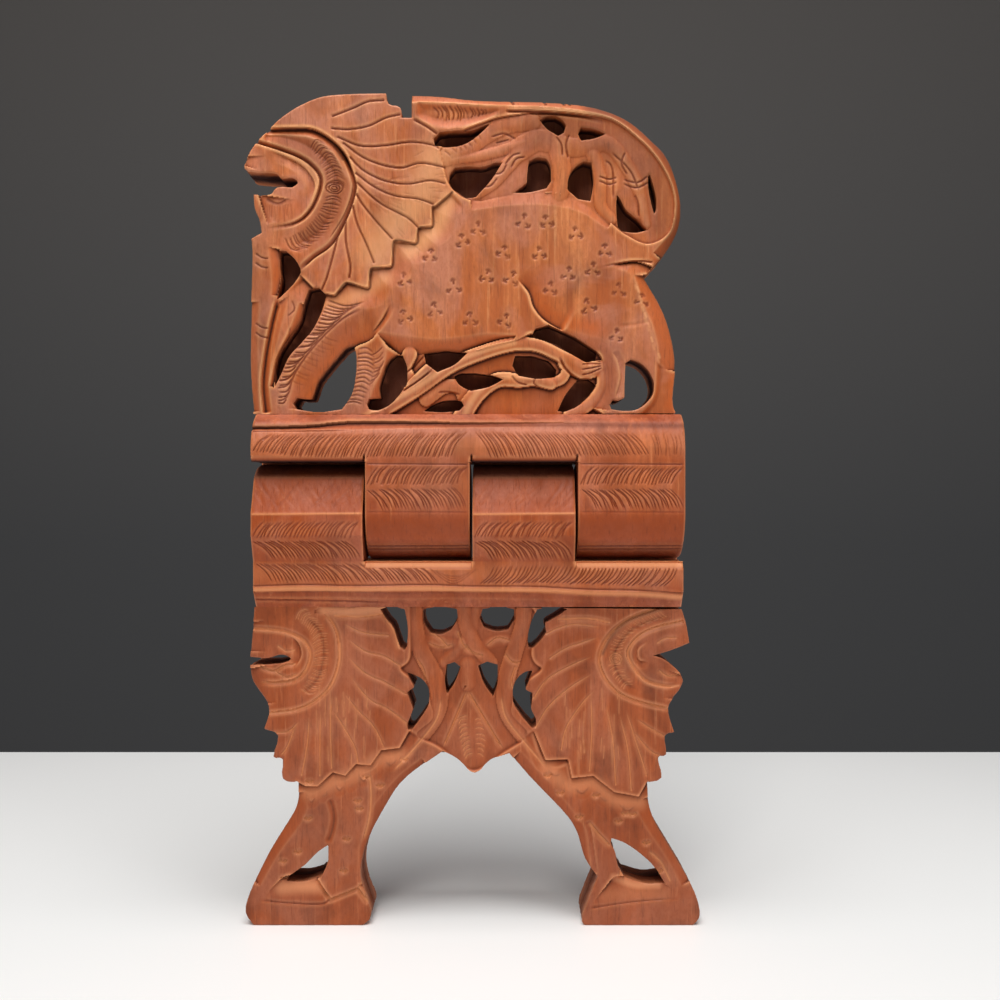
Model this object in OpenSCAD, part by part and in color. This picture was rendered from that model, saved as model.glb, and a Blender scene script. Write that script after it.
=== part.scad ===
// Folding book stand cut from one thick board. Two leaves cross at a wooden hinge whose
// knuckles are sawn out of the same board, so the leaves stay linked without any pin.
// Shown folded flat and standing on its feet. The front of the stand faces -Y, and the
// hinge axis runs along X. Outlines are in millimetres at the nominal height of 358 mm.

/* [Stand] */
// Height of the folded stand, from the feet to the top of the carving
stand_h = 358; // [300:1:420]
// Thickness of the board at the hinge, through both leaves
board_t = 41.2; // [34:0.2:46]
// Thickness of each thin carved panel
panel_t = 10; // [8:0.5:12]
// Saw cut that parts the two leaves
leaf_gap = 1; // [0.6:0.1:2]

/* [Hinge] */
// Saw slit between neighbouring knuckles
slit_w = 1.2; // [0.8:0.1:2]
// Clearance between a round knuckle and the edge of the notch it turns in
swing_gap = 0.5; // [0.4:0.1:1.5]
// Height over the axis where the board is still at full thickness
shoulder_up = 27; // [24:0.5:30]
// Height over the axis where the upper rail ends and the thin panel starts
rail_up = 42; // [40:0.5:46]
// How far the lips of the rails stand from the middle of the board
rail_lip = 16; // [14:0.5:17]
// Depth under the axis where the board is still at full thickness
shoulder_down = 10; // [6:0.5:16]
// Depth under the axis where the lower rail ends and the leg starts
rail_down = 41; // [40:0.5:44]

/* [Look] */
// Colour of the carved panels
panel_colour = [0.76, 0.48, 0.30];
// Colour of the hinge knuckles
knuckle_colour = [0.62, 0.33, 0.20];
// Colour of the legs
leg_colour = [0.68, 0.39, 0.24];

/* [Hidden] */

// Nominal size that the outlines are drawn for, and the factor that brings them to stand_h.
NOMINAL_H = 358;
NOMINAL_AXIS = 178;
K = stand_h / NOMINAL_H;
AXIS_H = NOMINAL_AXIS * K;

// Knuckle radius, notch edge from the axis, and the two faces of a front leaf.
KNUCKLE_R = board_t / 2;
NOTCH = KNUCKLE_R + swing_gap;
FACE_IN = leaf_gap / 2;
FACE_OUT = FACE_IN + panel_t;

// Where the rail's sides and the slits between the four knuckles lie along X.
RAIL_EDGES = [-93 * K, -45.4 * K, -0.2 * K, 44.4 * K, 90 * K];

// Height over the axis of the upper rail's lip, and depth of the lower one's.
LIP_UP = 38;
LIP_DOWN = 34;

// Width of the blank that a panel is sawn from, and how finely curves are drawn.
BLANK_W = 200;
CURVE_STEPS = 3;
HOLE_STEPS = 2;
ROUND_FN = 96;

// ---- Outlines, as runs of points. Each run is a smooth curve and meets the next at a corner.

// Standing lion, seen from the front: stem and open jaw at the left, tail arch at the right.
LION_EDGE = [
    [[-94, 219], [-95.5, 240], [-95, 269], [-94.5, 288], [-95, 295.5]],
    [[-95, 295.5], [-90.5, 298]],
    [[-90.5, 298], [-91.5, 303.5], [-93.5, 308.5], [-94, 314.5]],
    [[-94, 314.5], [-87, 314.5], [-84, 317.5], [-77.5, 317.5]],
    [[-77.5, 317.5], [-75, 319.5], [-77, 321.5], [-82, 321.5], [-84.5, 323.5], [-92, 324], [-96.5, 324.5]],
    [[-96.5, 324.5], [-98, 327], [-93.5, 336], [-81.5, 348], [-68, 355.5], [-56, 357.5], [-37, 358]],
    [[-37, 358], [-36, 353.5], [-31, 352], [-30.5, 347.5]],
    [[-30.5, 347.5], [-26, 347.5]],
    [[-26, 347.5], [-26, 358]],
    [[-26, 358], [-14, 357.5], [2.5, 355.5], [29, 355], [50.5, 353], [66, 347.5], [76.5, 339],
     [85, 329], [90, 309.5], [86.5, 294.5], [74, 279]],
    [[74, 279], [83, 263], [87.5, 244], [86.5, 226], [88.5, 219]]
];

// Openings behind the foreleg and under the hind leg, sawn through both leaves.
LEAF_OPENINGS = [
    [[-75.5, 222], [-75.5, 227], [-69.5, 226.5], [-67, 233.5], [-58, 245], [-51, 250], [-50, 237], [-56, 222]],
    [[60, 222], [60.5, 226], [65.5, 227], [66, 242], [71.5, 242.5], [77, 237], [78, 229], [71, 222]]
];

// Openings round the stem, the legs, the vine, the belly and the tail, in the front leaf only.
LION_OPENINGS = [
    [[-83, 290.5], [-77.5, 288], [-74, 282.5], [-75, 278.5], [-84, 269], [-82.5, 277]],
    [[-70.5, 274], [-63, 271.5], [-68.5, 256.5], [-78.5, 245], [-85, 231.5], [-83.5, 245.5], [-74.5, 260]],
    [[-44.5, 222], [-44.5, 226.5], [-39.5, 227], [-40, 231], [-36, 243], [-30, 245.5], [-28, 233.5], [-37, 223]],
    [[-14, 341.5], [-0.5, 342.5], [8, 345.5], [-3, 336.5], [-16, 335.5]],
    [[-7.5, 326.5], [5, 327], [13, 328.5], [1.5, 313.5], [-6, 315.5], [-10, 320]],
    [[29, 347], [36, 349], [40.5, 344.5], [37, 340]],
    [[47, 344], [57.5, 341], [47, 338]],
    [[24.5, 329.5], [32, 330.5], [34, 324], [32, 317.5], [18, 315.5], [23.5, 320]],
    [[44.5, 327], [51.5, 328.5], [51, 312], [41, 317]],
    [[62.5, 315], [66, 309], [75.5, 299.5], [64.5, 299], [62.5, 304]],
    [[76.5, 324], [79.5, 312.5], [78.5, 306.5], [76, 318]],
    [[-21, 246.5], [-2, 246.5], [-15, 238]],
    [[-8, 236.5], [0, 238], [13.5, 235], [-0.5, 230]],
    [[-21, 221.5], [-12, 226], [-4.5, 225.5], [-5.5, 221.5]],
    [[18.5, 245.5], [33, 243.5], [36, 236], [20, 236.5]],
    [[25.5, 253.5], [33, 258.5], [54, 247], [48.5, 242.5], [36, 250.5]],
    [[45.5, 235], [53.5, 233], [45.5, 223.5], [37, 221.5]]
];

// Two lions back to back over splayed legs, with a leaf hanging between them.
LEG_EDGE = [
    [[-93.5, 138], [-95.5, 115.5]],
    [[-95.5, 115.5], [-88, 115], [-82, 116.5], [-78, 114.5], [-83.5, 112.5], [-95.5, 112]],
    [[-95.5, 112], [-94.5, 105], [-87.5, 94], [-89.5, 84.5]],
    [[-89.5, 84.5], [-83.5, 81.5], [-85.5, 72.5], [-81.5, 71.5], [-81.5, 63], [-75, 61.5]],
    [[-75, 61.5], [-76, 50.5], [-87, 32], [-95, 15.5], [-97.5, 6], [-94, 0]],
    [[-94, 0], [-47, 0]],
    [[-47, 0], [-43.5, 5], [-48, 21], [-45.5, 35], [-37.5, 51], [-29, 63], [-12.5, 75]],
    [[-12.5, 75], [-6, 71], [1, 65.5], [8, 71], [16, 74]],
    [[16, 74], [25.5, 63], [43, 44], [48.5, 29], [54, 21]],
    [[54, 21], [47.5, 4], [48.5, 0]],
    [[48.5, 0], [95, 0]],
    [[95, 0], [98, 5], [94, 18], [78, 46], [75.5, 61.5]],
    [[75.5, 61.5], [81.5, 63.5], [80, 72], [83.5, 73.5], [83, 81.5], [87, 83]],
    [[87, 83], [84.5, 94], [91, 105], [84, 113.5], [78, 116]],
    [[78, 116], [86, 118.5], [93.5, 121.5]],
    [[93.5, 121.5], [92, 130], [89.5, 138]]
];

// Openings in a leg panel: over the vine, between manes and vine, and inside each foot.
LEG_OPENINGS = [
    [[-39.5, 136], [-29, 136], [-28, 120], [-31, 119.5], [-34, 128]],
    [[-21, 136], [-6.5, 136], [-9, 127], [-18, 125.5]],
    [[4.5, 136], [18, 136], [15.5, 127], [5, 128]],
    [[28, 136], [41, 136], [31.5, 130], [32, 126], [26, 119], [24, 122]],
    [[-11, 112], [-5, 111], [-11, 99]],
    [[2.5, 111.5], [11, 112], [9, 98]],
    [[-28, 108.5], [-20.5, 104.5], [-18.5, 96], [-26, 84], [-28, 86.5], [-25.5, 93], [-28, 100], [-25, 102.5]],
    [[26, 109.5], [19.5, 106], [17.5, 96.5], [26, 84.5], [27.5, 88.5], [25.5, 93], [26, 100], [23, 101.5]],
    [[-62, 34.5], [-65, 20.5], [-80.5, 18.5], [-72, 26]],
    [[60, 37.5], [71.5, 31.5], [83, 18], [66, 20], [61.5, 31.5]]
];

// ---- Curves

function spline_point(a, b, c, d, t) =
    (2 * b + (c - a) * t + (2 * a - 5 * b + 4 * c - d) * t * t + (3 * b - a - 3 * c + d) * t * t * t) / 2;

// Points of one open run, without its last point, which the next run starts with.
function run_points(p) =
    let (last = len(p) - 1, steps = last == 1 ? 1 : CURVE_STEPS)
    [for (i = [0 : last - 1], s = [0 : steps - 1])
        spline_point(p[max(i - 1, 0)], p[i], p[i + 1], p[min(i + 2, last)], s / steps)];

function edge_points(runs) = [for (run = runs) each run_points(run)];

// Points of a closed smooth hole.
function hole_points(p) =
    let (n = len(p))
    [for (i = [0 : n - 1], s = [0 : HOLE_STEPS - 1])
        spline_point(p[(i + n - 1) % n], p[i], p[(i + 1) % n], p[(i + 2) % n], s / HOLE_STEPS)];

// ---- Shared shapes

// Stands a flat X-Z outline up as a plate with its outer face towards -Y.
module upright_plate(inner_y, thickness) {
    translate([0, inner_y, 0])
        rotate([90, 0, 0])
            linear_extrude(thickness)
                scale(K)
                    children();
}

// Runs a Y-Z section along X between two places.
module along_x(from_x, to_x) {
    translate([from_x, 0, AXIS_H])
        rotate([90, 0, 90])
            linear_extrude(to_x - from_x)
                children();
}

module fretwork(edge, openings) {
    difference() {
        polygon(edge_points(edge));
        for (opening = openings) {
            polygon(hole_points(opening));
        }
    }
}

// Front half of the board above the axis: thick at the hinge, sloping back to the panel.
module rail_section_up() {
    polygon([
        [-FACE_IN, NOTCH],
        [-FACE_IN, rail_up],
        [-FACE_OUT, rail_up],
        [-rail_lip, LIP_UP],
        [-KNUCKLE_R, shoulder_up],
        [-KNUCKLE_R, NOTCH]
    ]);
}

// Front half of the board below the notch, with a lip over the leg.
module rail_section_down() {
    polygon([
        [-FACE_IN, -NOTCH],
        [-rail_lip, -NOTCH],
        [-rail_lip, -LIP_DOWN],
        [-FACE_OUT, -rail_down],
        [-FACE_IN, -rail_down]
    ]);
}

// Upper panel of the front leaf, standing on the upper rail.
module book_panel(openings) {
    upright_plate(-FACE_IN, panel_t)
        intersection() {
            fretwork(LION_EDGE, openings);
            translate([-BLANK_W / 2, (AXIS_H + rail_up) / K]) square([BLANK_W, NOMINAL_H]);
        }
}

// Lower panel of the front leaf, under the lower rail.
module leg_panel() {
    upright_plate(-FACE_IN, panel_t)
        intersection() {
            fretwork(LEG_EDGE, LEG_OPENINGS);
            translate([-BLANK_W / 2, 0]) square([BLANK_W, (AXIS_H - rail_down) / K]);
        }
}

module upper_rail() {
    along_x(RAIL_EDGES[0], RAIL_EDGES[4]) rail_section_up();
}

module lower_rail() {
    along_x(RAIL_EDGES[0], RAIL_EDGES[4]) rail_section_down();
}

// One knuckle: a round barrel, held by the leaf in front above the axis and behind below it.
module knuckle(place) {
    left = RAIL_EDGES[place - 1] + (place == 1 ? 0 : slit_w / 2);
    right = RAIL_EDGES[place] - (place == 4 ? 0 : slit_w / 2);
    translate([left, 0, AXIS_H])
        rotate([0, 90, 0])
            cylinder(r = KNUCKLE_R, h = right - left, $fn = ROUND_FN);
    along_x(left, right)
        polygon([
            [-FACE_IN, 0],
            [-FACE_IN, NOTCH],
            [-KNUCKLE_R, NOTCH],
            [-KNUCKLE_R, 0]
        ]);
    along_x(left, right)
        polygon([
            [FACE_IN, 0],
            [KNUCKLE_R, 0],
            [KNUCKLE_R, -shoulder_down],
            [rail_lip, -NOTCH],
            [FACE_IN, -NOTCH]
        ]);
}

// Swaps front and rear.
module to_rear() {
    mirror([0, 1, 0]) children();
}

// ---- Sub-parts. The first leaf is the front book panel and upper rail, knuckles 2 and 4,
// and the rear lower rail and legs.

module front_book_panel() {
    color(panel_colour)
        book_panel(concat(LEAF_OPENINGS, LION_OPENINGS));
}

module front_upper_rail() {
    color(knuckle_colour) upper_rail();
}

module hinge_knuckle_2() {
    color(knuckle_colour) knuckle(2);
}

module hinge_knuckle_4() {
    color(knuckle_colour) knuckle(4);
}

module rear_lower_rail() {
    color(knuckle_colour)
        to_rear() lower_rail();
}

module rear_leg_panel() {
    color(leg_colour)
        to_rear() leg_panel();
}

// The second leaf is the rear book panel and upper rail, knuckles 1 and 3, and the front
// lower rail and legs.

module rear_book_panel() {
    color(panel_colour)
        to_rear() book_panel(LEAF_OPENINGS);
}

module rear_upper_rail() {
    color(knuckle_colour)
        to_rear() upper_rail();
}

module hinge_knuckle_1() {
    color(knuckle_colour)
        to_rear() knuckle(1);
}

module hinge_knuckle_3() {
    color(knuckle_colour)
        to_rear() knuckle(3);
}

module front_lower_rail() {
    color(knuckle_colour) lower_rail();
}

module front_leg_panel() {
    color(leg_colour) leg_panel();
}

front_book_panel();
rear_book_panel();
front_upper_rail();
rear_upper_rail();
hinge_knuckle_1();
hinge_knuckle_2();
hinge_knuckle_3();
hinge_knuckle_4();
front_lower_rail();
rear_lower_rail();
front_leg_panel();
rear_leg_panel();
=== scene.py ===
import math

import bpy
import numpy as np
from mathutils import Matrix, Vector, geometry


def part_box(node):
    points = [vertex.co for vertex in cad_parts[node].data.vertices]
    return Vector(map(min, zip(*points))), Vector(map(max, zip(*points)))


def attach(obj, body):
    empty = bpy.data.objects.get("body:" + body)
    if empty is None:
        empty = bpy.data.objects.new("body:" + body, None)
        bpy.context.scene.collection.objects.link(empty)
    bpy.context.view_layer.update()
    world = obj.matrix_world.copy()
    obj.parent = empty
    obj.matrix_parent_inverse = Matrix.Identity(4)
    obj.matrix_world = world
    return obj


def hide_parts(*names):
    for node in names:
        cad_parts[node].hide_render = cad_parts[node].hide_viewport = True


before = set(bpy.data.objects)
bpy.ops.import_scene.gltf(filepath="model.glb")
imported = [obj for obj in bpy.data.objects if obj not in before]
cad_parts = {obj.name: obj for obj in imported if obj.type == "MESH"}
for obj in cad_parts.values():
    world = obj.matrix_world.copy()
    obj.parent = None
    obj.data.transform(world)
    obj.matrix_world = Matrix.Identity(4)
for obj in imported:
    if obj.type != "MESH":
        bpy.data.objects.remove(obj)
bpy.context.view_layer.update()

# A folding wooden book stand. Every carved face is a grid of points with a depth of cut, in
# millimetres; its outline, place and thickness come from the CAD node that it stands for.

MM = 0.001
FINEST = 0.3         # spacing of the points of the hinge and its front rails
FINE = 0.4           # spacing of the points of a front panel
COARSE = 0.6         # spacing of the points of what is behind
SPACING = 0.5        # spacing of the points of a curve
CORNER = math.radians(32)
CREASE = math.radians(40)
LONG_SIDE = 12       # a straight side longer than this stays straight
RIM = 0.55           # how far in from an edge the wood is worn round
NARROW = 2.6         # a cut no wider than this shows as a line
NEAR, WIDE = 0.9, 3.0    # how far round a point the wood is compared with it
WEB = 1.2            # the least wood left under a cut
RINGS = 6            # rows of faces down a sawn edge
SHARP_ENDS = (0.001, 0.001)    # a cut that doesn't fade out at its ends
END_WEAR = 0.9       # how far in from its ends a bar is worn round
# Colour weights: fresh-cut tone that also paints shade, painted shade in hollows mixed with stains, edge
# wear with painted highlights, and scored lines painted as shade (as highlights on the legs).
WEIGHTS = ("fresh_cut_and_shade", "shade_and_stain", "wear_and_highlight", "line")
# The weights of a bar's sawn ends: fresh-cut tone and some painted shade.
SAWN_END = {"fresh_cut_and_shade": 0.5, "shade_and_stain": 0.22, "wear_and_highlight": 0.0, "line": 0.0}
random = np.random.default_rng(7)


# ---- Curves

def unit(v):
    return v / np.maximum(np.linalg.norm(v, axis=-1, keepdims=True), 1e-9)


def spline(points):
    """A smooth curve through the points, as closely spaced points."""
    p = np.array(points, float)
    if len(p) == 2:
        ends = np.vstack([p[:1] * 2 - p[1:], p, p[1:] * 2 - p[:1]])
    else:
        ends = np.vstack([2 * p[0] - p[1], p, 2 * p[-1] - p[-2]])
    out = []
    for a, b, c, d in zip(ends, ends[1:], ends[2:], ends[3:]):
        n = max(2, int(np.linalg.norm(c - b) / SPACING))
        t = np.arange(n)[:, None] / n
        out.append(0.5 * (2 * b + (c - a) * t + (2 * a - 5 * b + 4 * c - d) * t**2
                          + (3 * b - a - 3 * c + d) * t**3))
    return np.vstack(out + [p[-1:]])


def evenly(curve, count):
    """That many points at even distances along a curve."""
    length = np.concatenate([[0], np.cumsum(np.linalg.norm(np.diff(curve, axis=0), axis=1))])
    at = np.linspace(0, length[-1], count)
    return np.stack([np.interp(at, length, curve[:, k]) for k in (0, 1)], 1)


def round_off(loop, spacing=SPACING):
    """Turns a closed run of chords back into a smooth outline that keeps its corners."""
    p = np.array(loop, float)
    side = np.roll(p, -1, 0) - p
    length = np.linalg.norm(side, axis=1)
    before = np.roll(side, 1, 0)
    cross = before[:, 0] * side[:, 1] - before[:, 1] * side[:, 0]
    turn = np.abs(np.arctan2(cross, (before * side).sum(1)))
    straight = length > LONG_SIDE
    corner = (turn > CORNER) | straight | np.roll(straight, 1)
    tangent = unit(unit(before) * length[:, None] + unit(side) * np.roll(length[:, None], 1, 0))
    out = []
    for k in range(len(p)):
        after = (k + 1) % len(p)
        n = max(1, int(math.ceil(length[k] / spacing)))
        t = np.arange(n)[:, None] / n
        start = side[k] if corner[k] else tangent[k] * length[k]
        end = side[k] if corner[after] else tangent[after] * length[k]
        out.append((2 * t**3 - 3 * t**2 + 1) * p[k] + (t**3 - 2 * t**2 + t) * start
                   + (3 * t**2 - 2 * t**3) * p[after] + (t**3 - t**2) * end)
    return np.clip(np.vstack(out), p.min(0), p.max(0))


def inside_ring(ring, x, y):
    """Which of the points lie inside a closed line."""
    inside = np.zeros(x.shape, bool)
    for (ax, ay), (bx, by) in zip(ring, np.roll(ring, -1, 0)):
        if ay != by:
            inside ^= ((ay > y) != (by > y)) & (x < (bx - ax) * (y - ay) / (by - ay) + ax)
    return inside


def lone_sides(polygons):
    """The directed sides that only one of the polygons has."""
    sides = set()
    for polygon in polygons:
        for a, b in zip(polygon, polygon[1:] + polygon[:1]):
            if (b, a) in sides:
                sides.remove((b, a))
            else:
                sides.add((a, b))
    return sides


def flat_outlines(node, axis, place):
    """The closed outlines, in mm, of a CAD node's flat face that lies at place on that axis."""
    keep = [k for k in range(3) if k != axis]
    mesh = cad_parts[node].data
    mesh.calc_loop_triangles()
    points = [tuple(round(v.co[k] / MM, 3) for k in keep) for v in mesh.vertices]
    on_face = [abs(v.co[axis] - place) < 1e-6 for v in mesh.vertices]
    flat = [t.vertices for t in mesh.loop_triangles if all(on_face[v] for v in t.vertices)]
    follow = dict(lone_sides([points[v] for v in corners] for corners in flat))
    loops = []
    while follow:
        start, point = follow.popitem()
        loop = [start]
        while point != start:
            loop.append(point)
            point = follow.pop(point)
        loops.append(np.array(loop))
    return sorted(loops, key=lambda loop: -np.ptp(loop, axis=0).sum())


def panel_outlines(node, outer):
    """The smooth outlines of a panel, its own first and then its openings."""
    return [round_off(loop) for loop in flat_outlines(node, 1, outer * MM)]


# ---- A face that is carved

def ease(t):
    t = np.clip(t, 0, 1)
    return t * t * (3 - 2 * t)


def tapered(along, ends):
    """Fades a cut in and out over those shares of its length."""
    return ease(along / max(ends[0], 1e-6)) * ease((1 - along) / max(ends[1], 1e-6))


class Face:
    """A grid of points, with how deep the wood is cut away at each."""

    def __init__(self, low, high, step):
        self.step = step
        self.u = np.arange(low[0] - 2 * step, high[0] + 3 * step, step)
        self.v = np.arange(low[1] - 2 * step, high[1] + 3 * step, step)
        self.U, self.V = np.meshgrid(self.u, self.v)
        self.ground = np.zeros_like(self.U)
        self.cuts = np.zeros_like(self.U)
        self.scored = np.zeros_like(self.U)
        self.tint = {key: np.zeros_like(self.U) for key in WEIGHTS}

    def window(self, points, reach):
        low, high = points.min(0) - reach, points.max(0) + reach
        i = np.searchsorted(self.v, [low[1], high[1]])
        j = np.searchsorted(self.u, [low[0], high[0]])
        return np.s_[i[0]:i[1], j[0]:j[1]]

    def near(self, curve, window):
        """Distance to a curve, the side of it, and how far along it, for the grid points."""
        q = np.stack([self.U[window], self.V[window]], -1)[None]
        a, ab = curve[:-1, None, None], np.diff(curve, axis=0)[:, None, None]
        best = np.full(q.shape[1:3], np.inf)
        side, along = np.ones_like(best), np.zeros_like(best)
        direction = unit(ab)[:, 0, 0]
        for k in range(0, len(a), 24):
            piece = slice(k, k + 24)
            length2 = np.maximum((ab[piece] ** 2).sum(-1), 1e-12)
            t = np.clip(((q - a[piece]) * ab[piece]).sum(-1) / length2, 0, 1)
            off = q - a[piece] - t[..., None] * ab[piece]
            d2 = (off ** 2).sum(-1)
            nearest = (d2.argmin(0), *np.indices(best.shape))
            d, t, off = d2[nearest], t[nearest], off[nearest]
            index = nearest[0] + k
            other = np.where(t <= 0, index - 1, np.where(t >= 1, index + 1, index))
            heading = direction[index] + direction[np.clip(other, 0, len(a) - 1)]
            turn = heading[..., 0] * off[..., 1] - heading[..., 1] * off[..., 0]
            closer = d < best
            side = np.where(closer, np.where(turn >= 0, 1, -1), side)
            along = np.where(closer, (index + t) / len(a), along)
            best = np.where(closer, d, best)
        return np.sqrt(best), side, along

    def within(self, ring, window):
        """Which grid points lie inside a closed line."""
        return inside_ring(ring, self.U[window], self.V[window])

    def cut(self, points, left, right, depth, ends=(0.12, 0.12), power=1, bent=True, deep=False):
        """A cut along a line: deepest on the line, gone at left and right mm to its sides."""
        curve = spline(points) if bent else np.array(points, float)
        window = self.window(curve, max(left, right))
        d, side, along = self.near(curve, window)
        fall = np.clip(1 - d / np.where(side > 0, left, right), 0, 1) ** power
        taper = tapered(along, ends)
        layer = self.ground if deep else self.cuts
        np.maximum(layer[window], depth * fall * taper, out=layer[window])
        if not deep and left + right < NARROW:
            score = np.clip(depth * 2.2, 0, 1) * fall**1.5 * taper
            np.maximum(self.scored[window], score, out=self.scored[window])

    def facet(self, high, low, depth, ends=(0, 0), power=1):
        """A sloping flat that leaves the surface at one line and is deepest at another."""
        high, low = spline(high), spline(low)
        ring = np.vstack([high, low[::-1]])
        window = self.window(ring, 0)
        far, _, along = self.near(high, window)
        near = self.near(low, window)[0]
        slope = depth * (far / (far + near + 1e-6)) ** power * tapered(along, ends)
        slope = np.where(self.within(ring, window), slope, 0)
        np.maximum(self.ground[window], slope, out=self.ground[window])

    def sink(self, ring, depth, wall):
        """Lowers the ground inside a closed line, down a wall of that width."""
        ring = spline(list(ring) + [ring[0]])
        window = self.window(ring, 0)
        d = self.near(ring, window)[0]
        floor = np.where(self.within(ring, window), depth * ease(d / wall), 0)
        np.maximum(self.ground[window], floor, out=self.ground[window])

    def band(self, points, half, top, crown=0.6, wall=0.5):
        """Leaves a band standing along a line where the ground round it was lowered."""
        curve = spline(points)
        half = np.broadcast_to(half, 2)
        window = self.window(curve, half.max() + wall)
        d, _, along = self.near(curve, window)
        width = half[0] + (half[1] - half[0]) * along
        limit = top + crown * (d / width)**2 + np.clip((d - width) / wall, 0, 1) * 8
        ground = self.ground[window]
        self.ground[window] = np.where(d < width + wall, np.minimum(ground, limit), ground)

    def brush(self, key, points, reach, amount):
        """Strengthens a colour weight near a line, fading out to reach mm."""
        curve = spline(points)
        window = self.window(curve, reach)
        tint = amount * ease(1 - self.near(curve, window)[0] / reach)
        np.maximum(self.tint[key][window], tint, out=self.tint[key][window])

    def nest(self, x, z, wide, tall):
        """Small ovals inside each other."""
        turn = np.linspace(0, 2 * math.pi, 13)
        for grow in (0.3, 0.62, 1.0):
            ring = [(x + grow * wide * math.cos(t), z + grow * tall * math.sin(t)) for t in turn]
            self.cut(ring, 0.4, 0.4, 0.5, (0.01, 0.01))

    def hatch(self, start, end, count, bow, width, depth, gap=(2, 2)):
        """A row of short curved gouges from one guide line to another, with a gap left in it."""
        loose = 0.25
        starts, ends = evenly(spline(start), count), evenly(spline(end), count)
        bows = np.interp(np.linspace(0, 1, count), np.linspace(0, 1, len(bow)), bow)
        for k, (a, b, rise) in enumerate(zip(starts, ends, bows)):
            if gap[0] < k / (count - 1) < gap[1]:
                continue
            a, b = a + random.normal(0, loose, 2), b + random.normal(0, loose, 2)
            across = unit(np.array([a[1] - b[1], b[0] - a[0]]))
            middle = (a + b) / 2 + across * (rise + random.normal(0, loose))
            self.cut([a, middle, b], width, width * random.uniform(1, 1.6),
                     depth * random.uniform(0.7, 1.1), (0.12, 0.25))

    def depth(self):
        """The whole depth of cut, with the slight unevenness of hand tools."""
        return self.ground + self.cuts + tool_marks(self.U, self.V)


def tool_marks(u, v):
    """Shallow waves left by the blade: mostly along the grain, never proud of the board."""
    wave = (np.sin(u * 0.83 + 1.7 * np.sin(v * 0.11)) * np.sin(v * 0.21 + 0.9 * np.sin(u * 0.35))
            + 0.6 * np.sin(u * 1.9 + v * 0.4) * np.sin(v * 0.47 + u * 0.16 + 2))
    return 0.07 * (wave + 1.6)


# ---- Colour weights that a face's shape gives its wood, with painted shade in its hollows and painted highlights on its ridges

def box_mean(a, cells):
    """Mean of a grid over the squares round its points, taken twice."""
    for axis in (0, 1):
        for _ in range(2):
            pad = [(cells + 1, cells) if k == axis else (0, 0) for k in (0, 1)]
            total = np.cumsum(np.pad(a, pad, mode="edge"), axis)
            n = a.shape[axis]
            high = np.take(total, range(2 * cells + 1, 2 * cells + 1 + n), axis)
            low = np.take(total, range(n), axis)
            a = (high - low) / (2 * cells + 1)
    return a


def blurred(field, mask, cells):
    """Mean of the field over the masked points near each point."""
    weight = box_mean(mask.astype(float), cells)
    return box_mean(np.where(mask, field, 0), cells) / np.maximum(weight, 1e-3)


def colour_weights(face, mask):
    """The colour weights at each point, from 0 to 1: fresh-cut tone on slopes, painted shade in hollows,
    edge wear with painted highlights on ridges, and scored lines.
    """
    ground, step = face.ground, face.step
    near, wide = max(1, round(NEAR / step)), max(2, round(WIDE / step))
    hollow = ground - blurred(ground, mask, near)
    broad = np.clip(ground - blurred(ground, mask, wide), 0, None)
    ridge = face.cuts + ground - blurred(face.cuts + ground, mask, near)
    slope = np.hypot(*np.gradient(blurred(ground, mask, 1), step))
    # Less painted shade where wear and painted highlights were brushed on.
    brightened = np.clip(face.tint["wear_and_highlight"] * 1.5, 0, 1)
    # Painted shade in hollows and cuts; edge wear and a painted highlight on ridges.
    weights = {
        "fresh_cut_and_shade": slope * 1.5 + ground * 0.22,
        "shade_and_stain": (hollow * 1.4 + broad * 0.12) * (1 - brightened),
        "wear_and_highlight": -ridge * 2.0 - 0.02,
        "line": face.scored * 1.3,
    }
    return {key: np.clip(np.maximum(w, face.tint[key]), 0, 1) for key, w in weights.items()}


# ---- Meshes

def mesh_object(name, points, faces, weights):
    """A smooth-shaded object with sharp creases and its colour weights."""
    mesh = bpy.data.meshes.new(name)
    mesh.from_pydata(points.tolist(), [], faces)
    mesh.polygons.foreach_set("use_smooth", np.ones(len(faces), bool))
    for key, values in weights.items():
        mesh.attributes.new(key, "FLOAT", "POINT").data.foreach_set("value", values.astype(np.float32))
    mesh.validate()
    mesh.update()
    mesh.set_sharp_from_angle(angle=CREASE)
    obj = bpy.data.objects.new(name, mesh)
    bpy.context.scene.collection.objects.link(obj)
    return obj


def bilinear(grid, i, j):
    """Values of a grid between its points."""
    i0 = np.minimum(i.astype(int), grid.shape[0] - 2)
    j0 = np.minimum(j.astype(int), grid.shape[1] - 2)
    s, t = i - i0, j - j0
    return (grid[i0, j0] * (1 - s) * (1 - t) + grid[i0 + 1, j0] * s * (1 - t)
            + grid[i0, j0 + 1] * (1 - s) * t + grid[i0 + 1, j0 + 1] * s * t)


def signed_distance(face, outlines):
    """Distance inside the outlines, negative outside, out to a few mm."""
    reach = 3.0
    distance = np.full(face.U.shape, reach)
    inside = np.zeros(face.U.shape, bool)
    for loop in outlines:
        closed = np.vstack([loop, loop[:1]])
        for k in range(0, len(closed) - 1, 40):
            part = closed[k:k + 41]
            window = face.window(part, reach)
            distance[window] = np.minimum(distance[window], face.near(part, window)[0])
        window = face.window(loop, face.step)
        inside[window] ^= face.within(loop, window)
    return np.where(inside, distance, -distance)


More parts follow.
